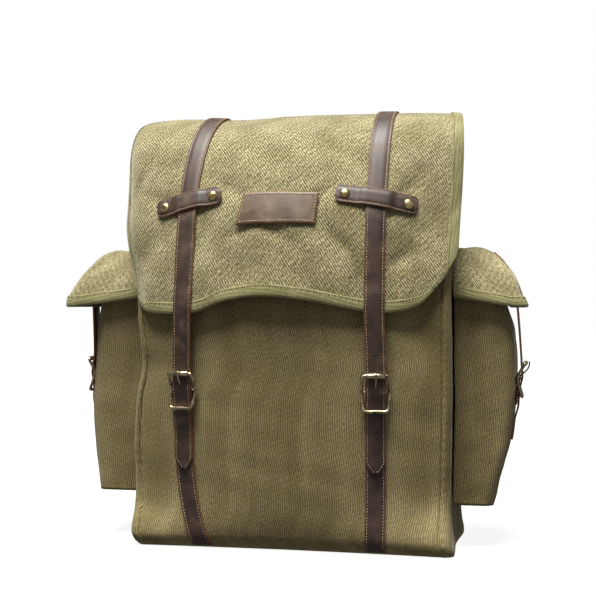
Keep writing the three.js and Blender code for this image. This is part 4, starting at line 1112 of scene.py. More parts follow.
def strap_stitches(name, middle, across, inset, half, thickness=LEATHER, start=0, end=None):
    """The two rows of stitches along a strap's edges, at an inset from its half width."""
    along = unit(np.gradient(middle, axis=0))
    out = unit(np.cross(across, along))
    aside = np.broadcast_to(np.maximum(half - inset, 0.3), len(middle))[:, None]
    for label, sign in (("a", -1), ("b", 1)):
        path = middle + across * sign * aside + out * (thickness / 2 - 0.05)
        stitches(f"{name}_{label}", path[start:end], out[start:end])


# %% [markdown]
# ## Buckles
#
# A roller buckle is a bent loop of wire with a bar across it. The strap end folds round the
# bar, a free roller turns on the top side, and the prong pivots on the bar and rests on the
# roller. The loop is a circle carried along a closed curve; the roller is turned on an axis.

# %% Buckle parts
WIRE_RADIUS = 1.55
BAR_RADIUS = 1.2
BUCKLE_UP = 16.0
BUCKLE_DOWN = 18.0
ROLLER_RADIUS = 2.5
PRONG_RADIUS = 0.95
METAL_GAP = 0.4
STRAP_SIDE_GAP = 1.4


def around(path, radius, sides, closed=False):
    """A tube's rings: circles square to the path, turned as little as can be along it."""
    if closed:
        tangent = unit(np.roll(path, -1, axis=0) - np.roll(path, 1, axis=0))
    else:
        tangent = unit(np.gradient(path, axis=0))
    guide = np.array([0.03, 1.0, 0.02])
    side = unit(np.cross(tangent, guide))
    up = np.cross(side, tangent)
    turns = np.arange(sides) * 2 * np.pi / sides
    radius = np.broadcast_to(np.asarray(radius, float), len(path))[:, None, None]
    circle = side[:, None] * np.cos(turns)[:, None] + up[:, None] * np.sin(turns)[:, None]
    return path[:, None] + circle * radius


def catmull(points, count, closed=False):
    """A smooth curve through points, as even steps between each two."""
    points = np.asarray(points, float)
    padded = (
        np.concatenate([points[-1:], points, points[:2]])
        if closed
        else np.concatenate([2 * points[:1] - points[1:2], points, 2 * points[-1:] - points[-2:-1]])
    )
    t = steps(0, 1, count)[:-1][:, None]
    parts = []
    for a, b, c, d in zip(padded, padded[1:], padded[2:], padded[3:]):
        parts.append(
            0.5
            * (
                2 * b
                + (c - a) * t
                + (2 * a - 5 * b + 4 * c - d) * t**2
                + (3 * b - a - 3 * c + d) * t**3
            )
        )
    curve = np.concatenate(parts)
    return curve if closed else np.concatenate([curve, points[-1:]])


def turned(profile, sides):
    """Rings of a profile of (radius, place) turned round the x axis."""
    profile = np.asarray(profile, float)
    turns = np.arange(sides) * 2 * np.pi / sides
    radius, place = profile[:, 0][:, None], profile[:, 1][:, None]
    return np.stack(
        np.broadcast_arrays(place, radius * np.cos(turns), radius * np.sin(turns)), -1
    )


def buckle(name, width, lifts, place):
    """The loop, bar, roller and prong in the buckle's frame, put where place says."""
    half = width / 2 + STRAP_SIDE_GAP + WIRE_RADIUS
    roller, low_bar, over_strap = lifts
    rows = [
        (0, roller, BUCKLE_UP),
        (0.5, roller, BUCKLE_UP),
        (0.84, roller, BUCKLE_UP),
        (0.99, roller * 0.9, BUCKLE_UP * 0.88),
        (1.05, roller * 0.35, BUCKLE_UP * 0.45),
        (1.04, 0, 0),
        (0.98, low_bar * 0.5, -BUCKLE_DOWN * 0.55),
        (0.84, low_bar, -BUCKLE_DOWN * 0.97),
        (0, low_bar, -BUCKLE_DOWN),
    ]
    loop = np.array([(x * half, y, z) for x, y, z in rows])
    loop = np.concatenate([loop, loop[-2:0:-1] * [-1, 1, 1]])
    wire = around(catmull(loop, 6, closed=True), WIRE_RADIUS, 14, closed=True)
    bar_ends = np.stack([steps(-half, half, 8), np.zeros(9), np.zeros(9)], -1)
    parts = {
        "buckle_frame": (wire, True),
        "buckle_bar": (around(bar_ends, BAR_RADIUS, 12), False),
    }
    long = width / 2 - 0.5
    barrel = [
        (WIRE_RADIUS + METAL_GAP, -long), (ROLLER_RADIUS - 0.35, -long), (ROLLER_RADIUS, -long + 0.5),
        (ROLLER_RADIUS, long - 0.5), (ROLLER_RADIUS - 0.35, long), (WIRE_RADIUS + METAL_GAP, long),
    ]
    parts["buckle_roller"] = (turned(barrel, 20) + [0, roller, BUCKLE_UP], True)
    eye = BAR_RADIUS + METAL_GAP + PRONG_RADIUS
    over = roller + ROLLER_RADIUS + METAL_GAP + PRONG_RADIUS
    hook = [(0, eye * np.sin(a), eye * np.cos(a)) for a in np.radians([200, 150, 100, 50])]
    rod = hook + [
        (0, over_strap + 0.2, BUCKLE_UP * 0.3),
        (0, over * 0.86, BUCKLE_UP * 0.62),
        (0, over + 0.15, BUCKLE_UP * 0.92),
        (0, over, BUCKLE_UP + PRONG_RADIUS * 1.2),
        (0, over - 0.5, BUCKLE_UP + PRONG_RADIUS * 2.2),
    ]
    rod = catmull(rod, 6)
    taper = PRONG_RADIUS * (1.08 - 0.3 * smooth(steps(0, 1, len(rod) - 1)))
    parts["buckle_prong"] = (around(rod, taper, 10), False)
    origin, side, out, up = place
    for part, (rings, closed) in parts.items():
        put = placed(rings, origin, side, out, up)
        flip = part == "buckle_roller"
        metal = swept(f"{name}_{part}", put, brass, closed=closed, flip=flip)
        if part != "buckle_bar":
            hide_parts(f"{name}_{part}")


# %% [markdown]
# ## Closures
#
# Each closure is the same in four places: two on the lid and one on each pocket. "seat" is
# what it lies on, as a function of height.

# %% One closure
FOLD_BACK = 26.0
TIP_LENGTH = 11.0
BAR_HEIGHT = REST + LEATHER + METAL_GAP + BAR_RADIUS
WRAP = BAR_RADIUS + METAL_GAP + LEATHER / 2
ONE_UP = REST + LEATHER / 2
TWO_UP = ONE_UP + LEATHER + REST
THREE_UP = TWO_UP + LEATHER + REST
OVER_BAR = BAR_HEIGHT + WRAP + LEATHER + REST
# An empty hole is a shallow cup let into the strap's face, coloured near black: painted shade
# standing in for the dark inside of the hole.
HOLE_RISES = (36.0, -38.0)  # the empty holes' heights over the bar
HOLE_PROFILE = np.array([(0.05, -0.3), (1.2, -0.3), (1.5, -0.05), (1.45, 0.03), (0.05, 0.02)])
hole_shade = tanned("painted_hole_shade", ("#0d0806", "#140d0a", "#1d130e"), "#140d0a", 0.6)


def closure(name, seat, bar, low, tip, width, upper):
    """The upper strap, the lower strap folded round the bar, and the buckle. Each strap's route
    is a list of heights up the pack with how far it stands off the seat."""

    def laid(route):
        z, lift = np.array(route, float).T
        point, out, across = seat(z)
        return point + out * lift[:, None], across

    fold_end = max(bar - FOLD_BACK, low + 2)
    turn = np.radians(steps(90, -90, 8))
    wrap = list(zip(bar + WRAP * np.cos(turn), BAR_HEIGHT + WRAP * np.sin(turn)))
    run_up = [(z, ONE_UP) for z in steps(low, fold_end - 12, 24)] if low < fold_end - 12 else []
    lower = [
        *run_up,
        (fold_end, TWO_UP),
        (bar - 9, TWO_UP + 0.4),
        *wrap,
        (bar - 8, ONE_UP),
        (fold_end + 3, ONE_UP),
    ]
    middle, across, _ = finer(*laid(lower), 120)
    lower_strap = strip(f"{name}_lower_strap", middle, across, width)
    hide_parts(f"{name}_buckle_strap")
    strap_stitches(
        f"{name}_lower_stitches", middle, across, STITCH_INSET, width / 2, start=2, end=92
    )

    low_lay = THREE_UP - LEATHER - REST
    laid_rows = [
        (tip, low_lay),
        (tip + 4, low_lay),
        (tip + TIP_LENGTH, low_lay),
        (fold_end - 14, low_lay),
        (fold_end - 2, THREE_UP),
        (bar - 12, THREE_UP + 0.2),
        (bar - 6, THREE_UP + 1.4),
        (bar, OVER_BAR),
        (bar + 6, OVER_BAR),
        (bar + BUCKLE_UP, OVER_BAR - 0.8),
        (bar + BUCKLE_UP + 6, OVER_BAR - 1),
    ]
    heights = []
    for row in laid_rows:
        if not heights or row[0] > heights[-1][0] + 1:
            heights.append(row)
    points, sides = laid(heights)
    points = np.concatenate([points, upper[0]])
    sides = np.concatenate([sides, upper[1]])
    middle, across, run = finer(points, sides, 300)
    point_share = np.clip(run / TIP_LENGTH, 0.02, 1)
    widths = width * (0.16 + 0.84 * point_share**0.85)
    strap = strip(f"{name}_strap_leather", middle, across, widths)
    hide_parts(f"{name}_strap")
    first = int(np.searchsorted(widths, 2 * STITCH_INSET))
    strap_stitches(
        f"{name}_strap_stitches", middle, across, STITCH_INSET, widths / 2, start=first
    )

    along = unit(np.gradient(middle, axis=0))
    # Each empty hole is a shallow near-black cup: painted shade for the hole.
    for i, up_from_bar in enumerate(HOLE_RISES):
        at = int(np.argmin(np.abs(middle[:, 2] - bar - up_from_bar)))
        face = unit(np.cross(across[at], along[at]))
        spot = middle[at] + face * (LEATHER / 2 * 1.06)
        put = placed(turned(HOLE_PROFILE, 16), spot, face, across[at], along[at])
        swept(f"{name}_hole_{i}", put, hole_shade)

    point, out, side = (value[0] for value in seat(np.array([bar])))
    ends, _, _ = seat(np.array([bar - BUCKLE_DOWN, bar + BUCKLE_UP]))
    side = -side
    up = ends[1] - ends[0]
    up = unit(up - side * up.dot(side))
    facing = np.cross(up, side)
    lifts = (
        OVER_BAR - 0.8 + LEATHER / 2 + METAL_GAP + ROLLER_RADIUS - BAR_HEIGHT,
        THREE_UP + 0.3 + LEATHER / 2 + METAL_GAP + WIRE_RADIUS - BAR_HEIGHT,
        OVER_BAR - BAR_HEIGHT,
    )
    buckle(name, width, lifts, (point + out * BAR_HEIGHT, side, facing, up))


# %% [markdown]
# The pack has slumped, so its two sides differ: in how long, how high and how tilted the
# keepers are, how far a strap leans to the right on top or strays at the foot, and how the
# pockets hang.

# %% The two sides
SIDES = (
    {
        "name": "left", "sign": -1, "keeper_length": 71.0, "keeper_tilt": 9.0, "keeper_up": 115.0,
        "strap_lean": 8.0, "strap_drift": 19.0, "pocket_bottom": 46.0, "pocket_bulge": 10.5,
        "flap_pull": 19.0, "flap_dip": 0.03,
    },
    {
        "name": "right", "sign": 1, "keeper_length": 80.0, "keeper_tilt": 5.0, "keeper_up": 115.0,
        "strap_lean": 0.0, "strap_drift": 0.0, "pocket_bottom": 42.0, "pocket_bulge": -3.0,
        "flap_pull": 16.0, "flap_dip": 0.3,
    },
)

# %% The two closures of the lid
STRAP_WIDTH = 20.0
STRAP_TIP_LEVEL = 78.0
STRAP_FOOT = 4.0
DRIFT_LEVEL = 100.0
BAR_LEVEL = 157.0
OVER_TAPE = TAPE_GAP + TAPE + 0.3 + ONE_UP


def station(surface, u, v, du, dv, out=1):
    """A surface's point, normal and direction across, at each place."""
    point = surface(u, v)
    return point, normals(surface, u, v, du, dv, out), unit(surface(u + du, v) - surface(u - du, v))


for side in SIDES:
    name, sign = side["name"], side["sign"]
    place_x = sign * STRAP_PLACE
    w = place_x - LID_SHIFT
    hem = float(hem_at(w / (LID_LEFT if sign < 0 else LID_RIGHT)))

    def front_seat(z, x=place_x, drift=side["strap_drift"]):
        """The front's station under a strap, which strays aside near the foot."""
        strayed = x + drift * np.maximum(1 - z / DRIFT_LEVEL, 0) ** 2
        return station(sack_face, front_place(strayed, z), z, 1e-3, 0.05)

    s = np.concatenate([[hem - 2, hem + TAPE_WIDTH + 4], steps(hem + 26, LID_LENGTH - 14, 26)])
    lift = np.concatenate([[OVER_TAPE, OVER_TAPE], np.full(27, ONE_UP)])
    leaning = w + side["strap_lean"] * smooth((s / LID_LENGTH - 0.35) / 0.4)
    point, out, across = station(lid_face, leaning, s, 0.5, 0.5)
    closure(
        f"lid_{name}",
        front_seat,
        BAR_LEVEL,
        STRAP_FOOT,
        STRAP_TIP_LEVEL,
        STRAP_WIDTH,
        (point + out * lift[:, None], across),
    )

# %% [markdown]
# ## Keepers, rivets and patch
#
# A keeper is a short strap that crosses the long one and is riveted to the lid at both ends.
# The rivet heads are low domes, turned on an axis.

# %% Keepers and rivets
KEEPER_WIDTH = 19.0
KEEPER_CORNER = 6.0
RIVET_RADIUS = 5.1
RIVET_HEIGHT = 2.6
RIVET_INSET = 9.0


def rivet(name, spot, out):
    """A domed head: a quarter ellipse with a small foot, turned round its axis."""
    angle = steps(0, np.pi / 2, 8)
    profile = np.stack([RIVET_RADIUS * np.cos(angle), RIVET_HEIGHT * np.sin(angle)], -1)
    profile[-1, 0] = 0.05
    profile = np.concatenate([[[0.05, -0.2], [RIVET_RADIUS * 0.97, -0.2]], profile])
    rings = turned(profile, 24)
    side = unit(np.cross(out, [0.2, 0.1, 1.0]))
    other = np.cross(out, side)
    put = placed(rings, spot, out, side, other)
    return swept(name, put, rivet_brass)


for side in SIDES:
    name, sign = side["name"], side["sign"]
    w = sign * STRAP_PLACE - LID_SHIFT
    up_at = float(hem_at(w / (LID_LEFT if sign < 0 else LID_RIGHT))) + side["keeper_up"]
    tilt = np.radians(-sign * side["keeper_tilt"])
    half_length = side["keeper_length"] / 2

    def keeper_line(run, w=w, up_at=up_at, tilt=tilt):
        """The keeper's middle line and its normals: it steps over the strap."""
        u, v = w + run * np.cos(tilt), up_at + run * np.sin(tilt)
        over = 1 - smooth((np.abs(run) - STRAP_WIDTH / 2 - 1) / 9)
        out = normals(lid_face, u, v, 0.5, 0.5)
        return lid_face(u, v) + out * (ONE_UP + 0.3 + over * (LEATHER + REST))[:, None], out

    ends = half_length - np.array([0, 0.2, 0.7, 1.5, 2.7, 4.2, 6.0])
    run = np.concatenate([-ends, steps(-half_length + 7, half_length - 7, 50), ends[::-1]])
    middle, out = keeper_line(run)
    across = unit(np.cross(unit(np.gradient(middle, axis=0)), out))
    short = np.maximum(KEEPER_CORNER - half_length + np.abs(run), 0)
    widths = KEEPER_WIDTH - 2 * (KEEPER_CORNER - np.sqrt(KEEPER_CORNER**2 - short**2))
    keeper = strip(f"keeper_{name}_leather", middle, across, widths)
    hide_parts(f"keeper_{name}")
    strap_stitches(
        f"keeper_{name}_stitches", middle, across, 1.9, KEEPER_WIDTH / 2, start=6, end=-6
    )
    for label, end in (("inner", -sign), ("outer", sign)):
        spot, up = keeper_line(np.array([end * (half_length - RIVET_INSET)]))
        lift = up[0] * (LEATHER / 2 + 0.2)
        head = rivet(f"rivet_{name}_{label}_head", spot[0] + lift, up[0])
        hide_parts(f"rivet_{name}_{label}")

# %% The patch
PATCH_WIDTH = 79.0
PATCH_HEIGHT = 33.0
PATCH_UP = 86.0
PATCH_LEAN = 5.0  # the patch's top lies this far to the right of its foot
PATCH_TAPER = 0.05  # and is shorter by this share


def patch_face(a, b):
    """The lid under the patch: a across and b up from the patch's foot."""
    rise = b / PATCH_HEIGHT
    return lid_face(a * (1 - PATCH_TAPER * rise) + PATCH_LEAN * rise, PATCH_UP + b)


patch_columns = np.concatenate([[-0.5, -0.49, -0.475], steps(-0.46, 0.46, 30), [0.475, 0.49, 0.5]])
patch_rows = np.concatenate([[-0.5, -0.47, -0.45], steps(-0.42, 0.42, 12), [0.45, 0.47, 0.5]])
pu, pv = np.meshgrid(patch_columns, patch_rows)
edge_gap = np.minimum((0.5 - np.abs(pu)) * PATCH_WIDTH, (0.5 - np.abs(pv)) * PATCH_HEIGHT)
patch_u, patch_v = pu * PATCH_WIDTH, (pv + 0.5) * PATCH_HEIGHT
patch_out = normals(patch_face, patch_u, patch_v, 0.5, 0.5)
crown = 0.5 * smooth(edge_gap / 1.2)
patch_top = patch_face(patch_u, patch_v) + patch_out * (0.8 + LEATHER - 0.5 + crown)[..., None]
patch_low = patch_face(patch_u, patch_v) + patch_out * 0.6
patch = cloth_piece(
    "patch_leather", patch_top, patch_low, np.stack([patch_u, patch_v], -1), patch_leather
)
layer = patch.data.attributes.new("rim", "FLOAT", "POINT")
patch_rim = np.concatenate([(1 - smooth(edge_gap / 1.4)).ravel(), np.ones(edge_gap.size)])
layer.data.foreach_set("value", patch_rim.astype(np.float32))
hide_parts("patch")
corners = np.array([(-1, -1), (1, -1), (1, 1), (-1, 1), (-1, -1)]) * 0.5
border = np.concatenate(
    [a + (b - a) * steps(0, 1, 30)[:-1, None] for a, b in zip(corners, corners[1:])]
)
border = border * [PATCH_WIDTH - 5, PATCH_HEIGHT - 5]
bu, bv = border[:, 0], PATCH_HEIGHT / 2 + border[:, 1]
border_out = normals(patch_face, bu, bv, 0.5, 0.5)
border_path = patch_face(bu, bv) + border_out * (0.8 + LEATHER + 0.1)
stitches("patch_stitches", border_path, border_out, width=1.1, height=0.8)

# %% [markdown]
# ## Side pockets
#
# A pocket is a strip of cloth bent round three sides, sewn to the sack, with a bottom. Its flap
# is a cap: it rises from the hem to a ridge and runs back to the sack, with a wing in front and
# one behind. The strap draws the middle of its hem in, so its corners stand out.

# %% Pocket and flap faces
POCKET_OUT = 227.0
POCKET_TOP = 260.0
POCKET_FRONT = -38.0
POCKET_BACK = 56.0
POCKET_CORNER = 11.0
FLAP_REACH = 80.0
FLAP_RISE = 60.0
FLAP_HEM = POCKET_TOP - 20.0
FLAP_FRONT = -47.0
FLAP_BACK = 63.0
FLAP_FRONT_LEAN = 30.0
FLAP_BACK_LEAN = 18.0
FLAP_CORNER = 12.0
FLAP_ROOT_CLIMB = 0.16
FLAP_FRONT_DIP = 0.32

POCKET_FORM = table(
    "level left right",
    (0.0, 0.918, 0.904),
    (0.08, 0.924, 0.921),
    (0.24, 0.934, 0.964),
    (0.42, 0.935, 0.991),
    (0.65, 0.928, 0.998),
    (0.8, 0.922, 0.988),
    (0.9, 0.914, 0.958),
    (1.0, 0.904, 0.936),
)
FLAP_FORM = table(
    "step left right up",
    (0.0, 1.12, 0.895, 0.0),
    (0.12, 1.1, 0.845, 0.17),
    (0.26, 1.01, 0.795, 0.38),
    (0.4, 0.91, 0.72, 0.58),
    (0.54, 0.8, 0.615, 0.76),
    (0.68, 0.69, 0.475, 0.91),
    (0.82, 0.52, 0.3, 1.0),
    (0.92, 0.29, 0.13, 0.97),
    (1.0, 0.0, 0.0, 0.88),
)


def around_u(place, reach, front, back, corner):
    """A U that opens towards the sack: straight walls joined by quarter circles."""
    radius = np.minimum(corner, reach * 0.45)
    out, near, far = reach - radius, front + radius, back - radius
    a, b = (place - 1) * np.pi / 2, (place - 3) * np.pi / 2
    parts = [place <= 1, place <= 2, place <= 3, place <= 4]
    reach_out = np.select(
        parts,
        [out * place, out + radius * np.sin(a), reach, out + radius * np.cos(b)],
        out * (5 - place),
    )
    depth = np.select(
        parts,
        [
            front,
            near - radius * np.cos(a),
            near + (far - near) * (place - 2),
            far + radius * np.sin(b),
        ],
        back,
    )
    return reach_out, depth


def side_wall(sign, z):
    """How far out the sack's side lies, where the pocket is sewn on."""
    return np.abs(sack_face(sign * 2.0, np.clip(z, 0, BODY_HEIGHT))[..., 0]) + REST + 0.2


def at_middle(place):
    """How strongly the middle of an outer wall takes part, from 0 at its corners to 1."""
    return np.sin(np.clip(place - 1.6, 0, 1.8) * np.pi / 1.8) ** 2


def pocket_faces(side):
    """The pocket's wall and the flap's face, as functions."""
    sign, bottom = side["sign"], side["pocket_bottom"]
    reach_at = through(POCKET_FORM, "level", side["name"])
    flap_at = through(FLAP_FORM, "step", side["name"])
    flap_up = through(FLAP_FORM, "step", "up")

    def wall(place, z):
        """A U whose reach changes with height, with a bulge in the middle of its outer wall."""
        place, z = np.broadcast_arrays(np.asarray(place, float), np.asarray(z, float))
        level = np.clip((z - bottom) / (POCKET_TOP - bottom), 0, 1)
        reach = POCKET_OUT * reach_at(level) - side_wall(sign, z)
        out, y = around_u(place, reach, POCKET_FRONT, POCKET_BACK, POCKET_CORNER)
        bulge = side["pocket_bulge"] * np.sin(np.pi * level) ** 0.7 * at_middle(place)
        return np.stack([sign * (side_wall(sign, z) + out + bulge), y, z], -1)

    def cap(place, step):
        """A U that shrinks and leans back as it rises, with its hem drawn in."""
        place, step = np.broadcast_arrays(np.asarray(place, float), np.asarray(step, float))
        up = flap_up(step)
        lean = np.maximum(up, 0) ** 1.6
        front, back = FLAP_FRONT + FLAP_FRONT_LEAN * lean, FLAP_BACK - FLAP_BACK_LEAN * lean
        reach = np.maximum(FLAP_REACH * flap_at(step), 0)
        out, y = around_u(place, reach, front, back, FLAP_CORNER)
        below = 1 - np.clip(step, 0, 1)
        climb = FLAP_ROOT_CLIMB * np.maximum(np.maximum(1 - place, place - 4), 0) * below
        dip = FLAP_FRONT_DIP * np.maximum(1 - place / 2, 0)
        dip = (dip + side["flap_dip"] * np.maximum(place - 3, 0) / 2) * smooth((step - 0.7) / 0.3)
        z = FLAP_HEM + FLAP_RISE * (up + climb - dip)
        drawn = side["flap_pull"] * at_middle(place) * below**2
        return np.stack([sign * (side_wall(sign, z) + out - drawn), y, z], -1)

    return wall, cap


# %% Pockets, flaps and their closures
POCKET_STRAP_WIDTH = 18.0
POCKET_BAR_LEVEL = 166.0
POCKET_TIP_LEVEL = 104.0
POCKET_TAB = 30.0


def round_u(*counts):
    """Places round a U: even steps along each of its walls and corners."""
    return np.unique(np.concatenate([steps(i, i + 1, n) for i, n in enumerate(counts)]))


pocket_places = round_u(20, 10, 40, 10, 16)
flap_places = round_u(24, 14, 44, 12, 16)
flap_steps = steps(0, 0.99, 48)

for side in SIDES:
    name, sign, bottom = side["name"], side["sign"], side["pocket_bottom"]
    wall, cap = pocket_faces(side)
    seed = 40 + sign
    u, z = np.meshgrid(pocket_places, steps(bottom, POCKET_TOP, 80))
    face = wall(u, z)
    out = normals(wall, u, z, 1e-3, 0.2, sign)
    girth = run_along(face, axis=1)
    from_seam = np.minimum(girth, girth[:, -1:] - girth) - 1
    fixed = smooth(from_seam / 12) * smooth((z - bottom) / 14)
    swell = 1.6 * rumple(girth * 1.4, z * 0.7, 46, seed) + 0.5 * rumple(girth, z, 20, seed + 2)
    outer = face + out * (swell * fixed)[..., None]
    inner = outer - out * CANVAS
    pocket = cloth_piece(
        f"pocket_{name}_cloth",
        outer,
        inner,
        np.stack([girth, z], -1),
        panel_canvas,
        flip=sign < 0,
    )
    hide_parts(f"pocket_{name}")

    rim = inner[0]
    sewn_x = sign * float(side_wall(sign, bottom))
    inside = np.stack([np.full(len(rim), sewn_x), rim[:, 1], rim[:, 2]], -1)
    flat = np.stack([inside + (rim - inside) * share for share in (0.0, 0.5, 0.995)])
    floor_top, floor_low = flat + [0, 0, 2.0], flat + [0, 0, 0.4]
    pocket_floor = cloth_piece(
        f"pocket_{name}_bottom",
        floor_top,
        floor_low,
        flat[..., :2],
        panel_canvas,
        flip=sign > 0,
    )
    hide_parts(f"pocket_base_{name}")

    u, step = np.meshgrid(flap_places, flap_steps)
    face = cap(u, step)
    out = normals(cap, u, step, 1e-3, 1e-3, sign)
    girth = run_along(face, axis=1)
    climb = run_along(face)
    swell = 0.8 * rumple(girth, climb, 40, seed + 5) + 0.5 * rumple(girth, climb, 17, seed + 9)
    swell *= smooth(step / 0.15) * smooth((1 - step) / 0.2)
    outer = face + out * swell[..., None]
    inner = outer - out * CANVAS
    flap = cloth_piece(
        f"pocket_flap_{name}_cloth",
        outer,
        inner,
        np.stack([girth[:1] + 0 * climb, climb], -1),
        canvas,
        flip=sign < 0,
    )
    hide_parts(f"pocket_flap_{name}")

    hem_u = np.unique(np.concatenate([steps(0, 5, 160), steps(1, 2, 20), steps(3, 4, 20)]))
    size = np.linalg.norm(cap(hem_u, 0.02) - cap(hem_u, 0.0), axis=-1) / 0.02
    edge = (hem_u, np.zeros_like(hem_u), np.zeros_like(hem_u), 1 / size)
    tape = bound_edge(f"pocket_flap_{name}_tape", cap, *edge, 1e-3, 1e-3, CANVAS, out=sign)
    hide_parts(f"pocket_flap_binding_{name}")
    path, up = edge_line(
        cap, *edge, TAPE_WIDTH - TAPE_STITCH_INSET, TAPE_STITCH_LIFT, 1e-3, 1e-3, out=sign
    )
    stitches(f"pocket_flap_{name}_stitches", path, up, thread=olive_thread_and_groove_shade)

    def pocket_seat(z, wall=wall, sign=sign):
        point, out, across = station(wall, np.full_like(z, 2.5), z, 1e-3, 0.2, sign)
        return point, out, across * sign

    up_flap = np.array([-0.06, 0.2, 0.3, 0.42, 0.54, 0.66])
    lift = np.array([OVER_TAPE + 1, OVER_TAPE + 0.2, *[ONE_UP + 0.3] * 4])
    point, out, across = station(cap, np.full_like(up_flap, 2.5), up_flap, 1e-3, 1e-3, sign)
    closure(
        f"pocket_{name}",
        pocket_seat,
        POCKET_BAR_LEVEL,
        POCKET_BAR_LEVEL - POCKET_TAB - 8,
        POCKET_TIP_LEVEL,
        POCKET_STRAP_WIDTH,
        (point + out * lift[:, None], across * sign),
    )

# %% [markdown]
# ## What is worn on the back
#
# The photograph shows none of it, so these are plain: two webbing shoulder straps, a leather
# handle and the leather anchors that hold the straps' lower ends.

# %% Shoulder straps, handle and anchors
SHOULDER_WIDTH = 42.0
SHOULDER_THICKNESS = 4.0
SHOULDER_TOP_PLACE = 46.0
SHOULDER_LOW_PLACE = 132.0
SHOULDER_TOP_LEVEL = 0.84
SHOULDER_LOW_LEVEL = 0.07
SHOULDER_BOW = 58.0
HANDLE_LEVEL = 0.9
HANDLE_SPAN = 110.0
HANDLE_WIDTH = 24.0
HANDLE_BOW = 30.0
ANCHOR_PLACE = 4.04  # the anchor starts here, close behind the back corner
ANCHOR_WIDTH = 26.0
ANCHOR_HEIGHT = 20.0


def back_spot(x, z, lift):
    """A point lift millimetres behind the sack's back."""
    y = BACK_DEPTH * SHARES["back"](np.clip(z / BODY_HEIGHT, 0, 1)) - x * x / (2 * BACK_CROWN)
    return np.stack(np.broadcast_arrays(x, y + lift, z), -1)


for name, sign in (("left", -1), ("right", 1)):
    t = steps(0, 1, 120)
    x = sign * (SHOULDER_TOP_PLACE + (SHOULDER_LOW_PLACE - SHOULDER_TOP_PLACE) * smooth(t))
    z = BODY_HEIGHT * (SHOULDER_TOP_LEVEL - (SHOULDER_TOP_LEVEL - SHOULDER_LOW_LEVEL) * t)
    bow = SHOULDER_BOW * np.clip(np.sin(np.pi * t**0.8), 0, 1) ** 1.6
    middle = back_spot(x, z, 1.5 * REST + SHOULDER_THICKNESS / 2 + bow)
    across = unit(np.stack([-np.ones_like(x), x / BACK_CROWN, 0 * x], -1))
    webbing = strip(
        f"shoulder_strap_{name}_webbing",
        middle,
        across,
        SHOULDER_WIDTH,
        SHOULDER_THICKNESS,
        canvas,
    )
    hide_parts(f"shoulder_strap_{name}")
    strap_stitches(
        f"shoulder_strap_{name}_stitches", middle, across, 4, SHOULDER_WIDTH / 2, SHOULDER_THICKNESS
    )
    anchor_end = ANCHOR_PLACE + 2 * ANCHOR_WIDTH / BODY_WIDTH
    places = np.sort(sign * steps(ANCHOR_PLACE, anchor_end, 12))
    anchor_top = BODY_HEIGHT * SHOULDER_LOW_LEVEL - 3 * REST
    places, levels = np.meshgrid(places, steps(anchor_top - ANCHOR_HEIGHT, anchor_top, 8))
    out = normals(sack_face, places, levels, 1e-3, 0.05)
    face = sack_face(places, levels)
    flat = np.stack([places * 40, levels], -1)
    anchor = cloth_piece(
        f"strap_anchor_{name}_leather", face + out * 3.0, face + out * 1.0, flat, leather
    )
    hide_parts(f"strap_anchor_{name}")

t = steps(-1, 1, 60)
handle_level = np.full_like(t, BODY_HEIGHT * HANDLE_LEVEL)
handle_lift = REST + LEATHER + HANDLE_BOW * (1 - t * t)
middle = back_spot(t * HANDLE_SPAN / 2, handle_level, handle_lift)
across = np.tile([0.0, 0.0, 1.0], (len(t), 1))
handle = strip("carry_handle_leather", middle, across, HANDLE_WIDTH, LEATHER * 1.5)
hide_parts("carry_handle")
strap_stitches("carry_handle_stitches", middle, across, 2.5, HANDLE_WIDTH / 2, LEATHER * 1.5)

# %% [markdown]
# ## Studio
#
# The pack was photographed under a broad lamp overhead, a little to the front and left: the
# top of the lid is three to four times as bright as the sack, the cloth under the hem and
# under the pocket flaps is nearly black, and no shadow has a sharp edge. A sun lamp with a
# wide disc gives that evenly. The world is white where it is looked at and dim where it
# lights the pack, as a white sheet behind it would be. The floor glows a little, so that it
# stays as white as the world and keeps only a faint shadow under the pack.

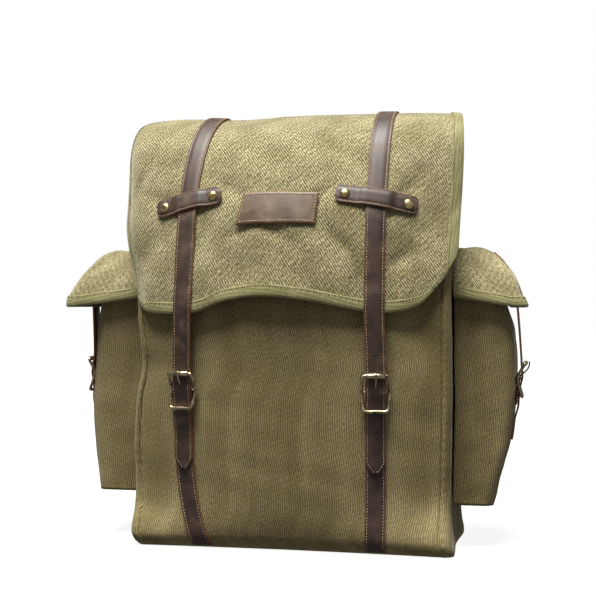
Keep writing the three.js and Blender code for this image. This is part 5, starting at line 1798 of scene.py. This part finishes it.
# %% Floor
FLOOR_HALF = 8.0
FLOOR_DROP = 0.0004
floor_mesh = bpy.data.meshes.new("floor")
floor_corners = FLOOR_HALF * np.array([(-1, -1, 0), (1, -1, 0), (1, 1, 0), (-1, 1, 0)])
floor_mesh.from_pydata((floor_corners - [0, 0, FLOOR_DROP]).tolist(), [], [(0, 1, 2, 3)])
floor = bpy.data.objects.new("floor", floor_mesh)
floor.visible_diffuse = False
floor.visible_glossy = False
bpy.context.collection.objects.link(floor)
paper, _, paper_shader = new_material("white_backdrop_paper")
paper_shader.inputs["Base Color"].default_value = (0.1, 0.1, 0.1, 1)
paper_shader.inputs["Roughness"].default_value = 1.0
paper_shader.inputs["Specular IOR Level"].default_value = 0.0
paper_shader.inputs["Emission Color"].default_value = (1, 1, 1, 1)
paper_shader.inputs["Emission Strength"].default_value = 0.9
floor_mesh.materials.append(paper)

# %% Light
FILL = 0.22  # the world's strength as a light
LAMP = 8.6  # about 2.7 times what a white sheet needs to look white
LAMP_DISC = 30  # degrees across
world = bpy.data.worlds.new("white_studio")
world.use_nodes = True
seen = add(world.node_tree, "ShaderNodeLightPath").outputs["Is Camera Ray"]
strength = add(
    world.node_tree, "ShaderNodeMapRange", {"Value": seen, "To Min": FILL, "To Max": 1.0}
)
backdrop = world.node_tree.nodes["Background"]
backdrop.inputs["Color"].default_value = (1, 1, 1, 1)
world.node_tree.links.new(strength.outputs["Result"], backdrop.inputs["Strength"])
bpy.context.scene.world = world

overhead_light = bpy.data.lights.new("overhead_lamp", "SUN")
overhead_light.energy = LAMP
overhead_light.angle = np.radians(LAMP_DISC)
overhead_light.color = (1.0, 0.98, 0.94)
overhead_lamp = bpy.data.objects.new("overhead_lamp", overhead_light)
overhead_lamp.rotation_euler = np.radians((13, -5, 0))
bpy.context.collection.objects.link(overhead_lamp)

# %% [markdown]
# The camera stands level with the middle of the pack, 1.28 m away and 12 degrees round to the
# right of its front. In the photograph's frame its focal length is 1215 pixels.

# %% Camera
CAMERA_TURN = np.radians(12)
CAMERA_DISTANCE = 1.28
CAMERA_HEIGHT = 0.243
FOCAL_PIXELS = 1215.0
FRAME_PIXELS = 606.0

camera_data = bpy.data.cameras.new("camera")
camera_data.sensor_width = 36
camera_data.lens = 36 * FOCAL_PIXELS / FRAME_PIXELS
camera = bpy.data.objects.new("camera", camera_data)
camera.location = (
    CAMERA_DISTANCE * np.sin(CAMERA_TURN),
    -CAMERA_DISTANCE * np.cos(CAMERA_TURN),
    CAMERA_HEIGHT,
)
camera.rotation_euler = (np.pi / 2, 0, CAMERA_TURN)
bpy.context.collection.objects.link(camera)
bpy.context.scene.camera = camera
bpy.context.scene.view_settings.view_transform = "Standard"
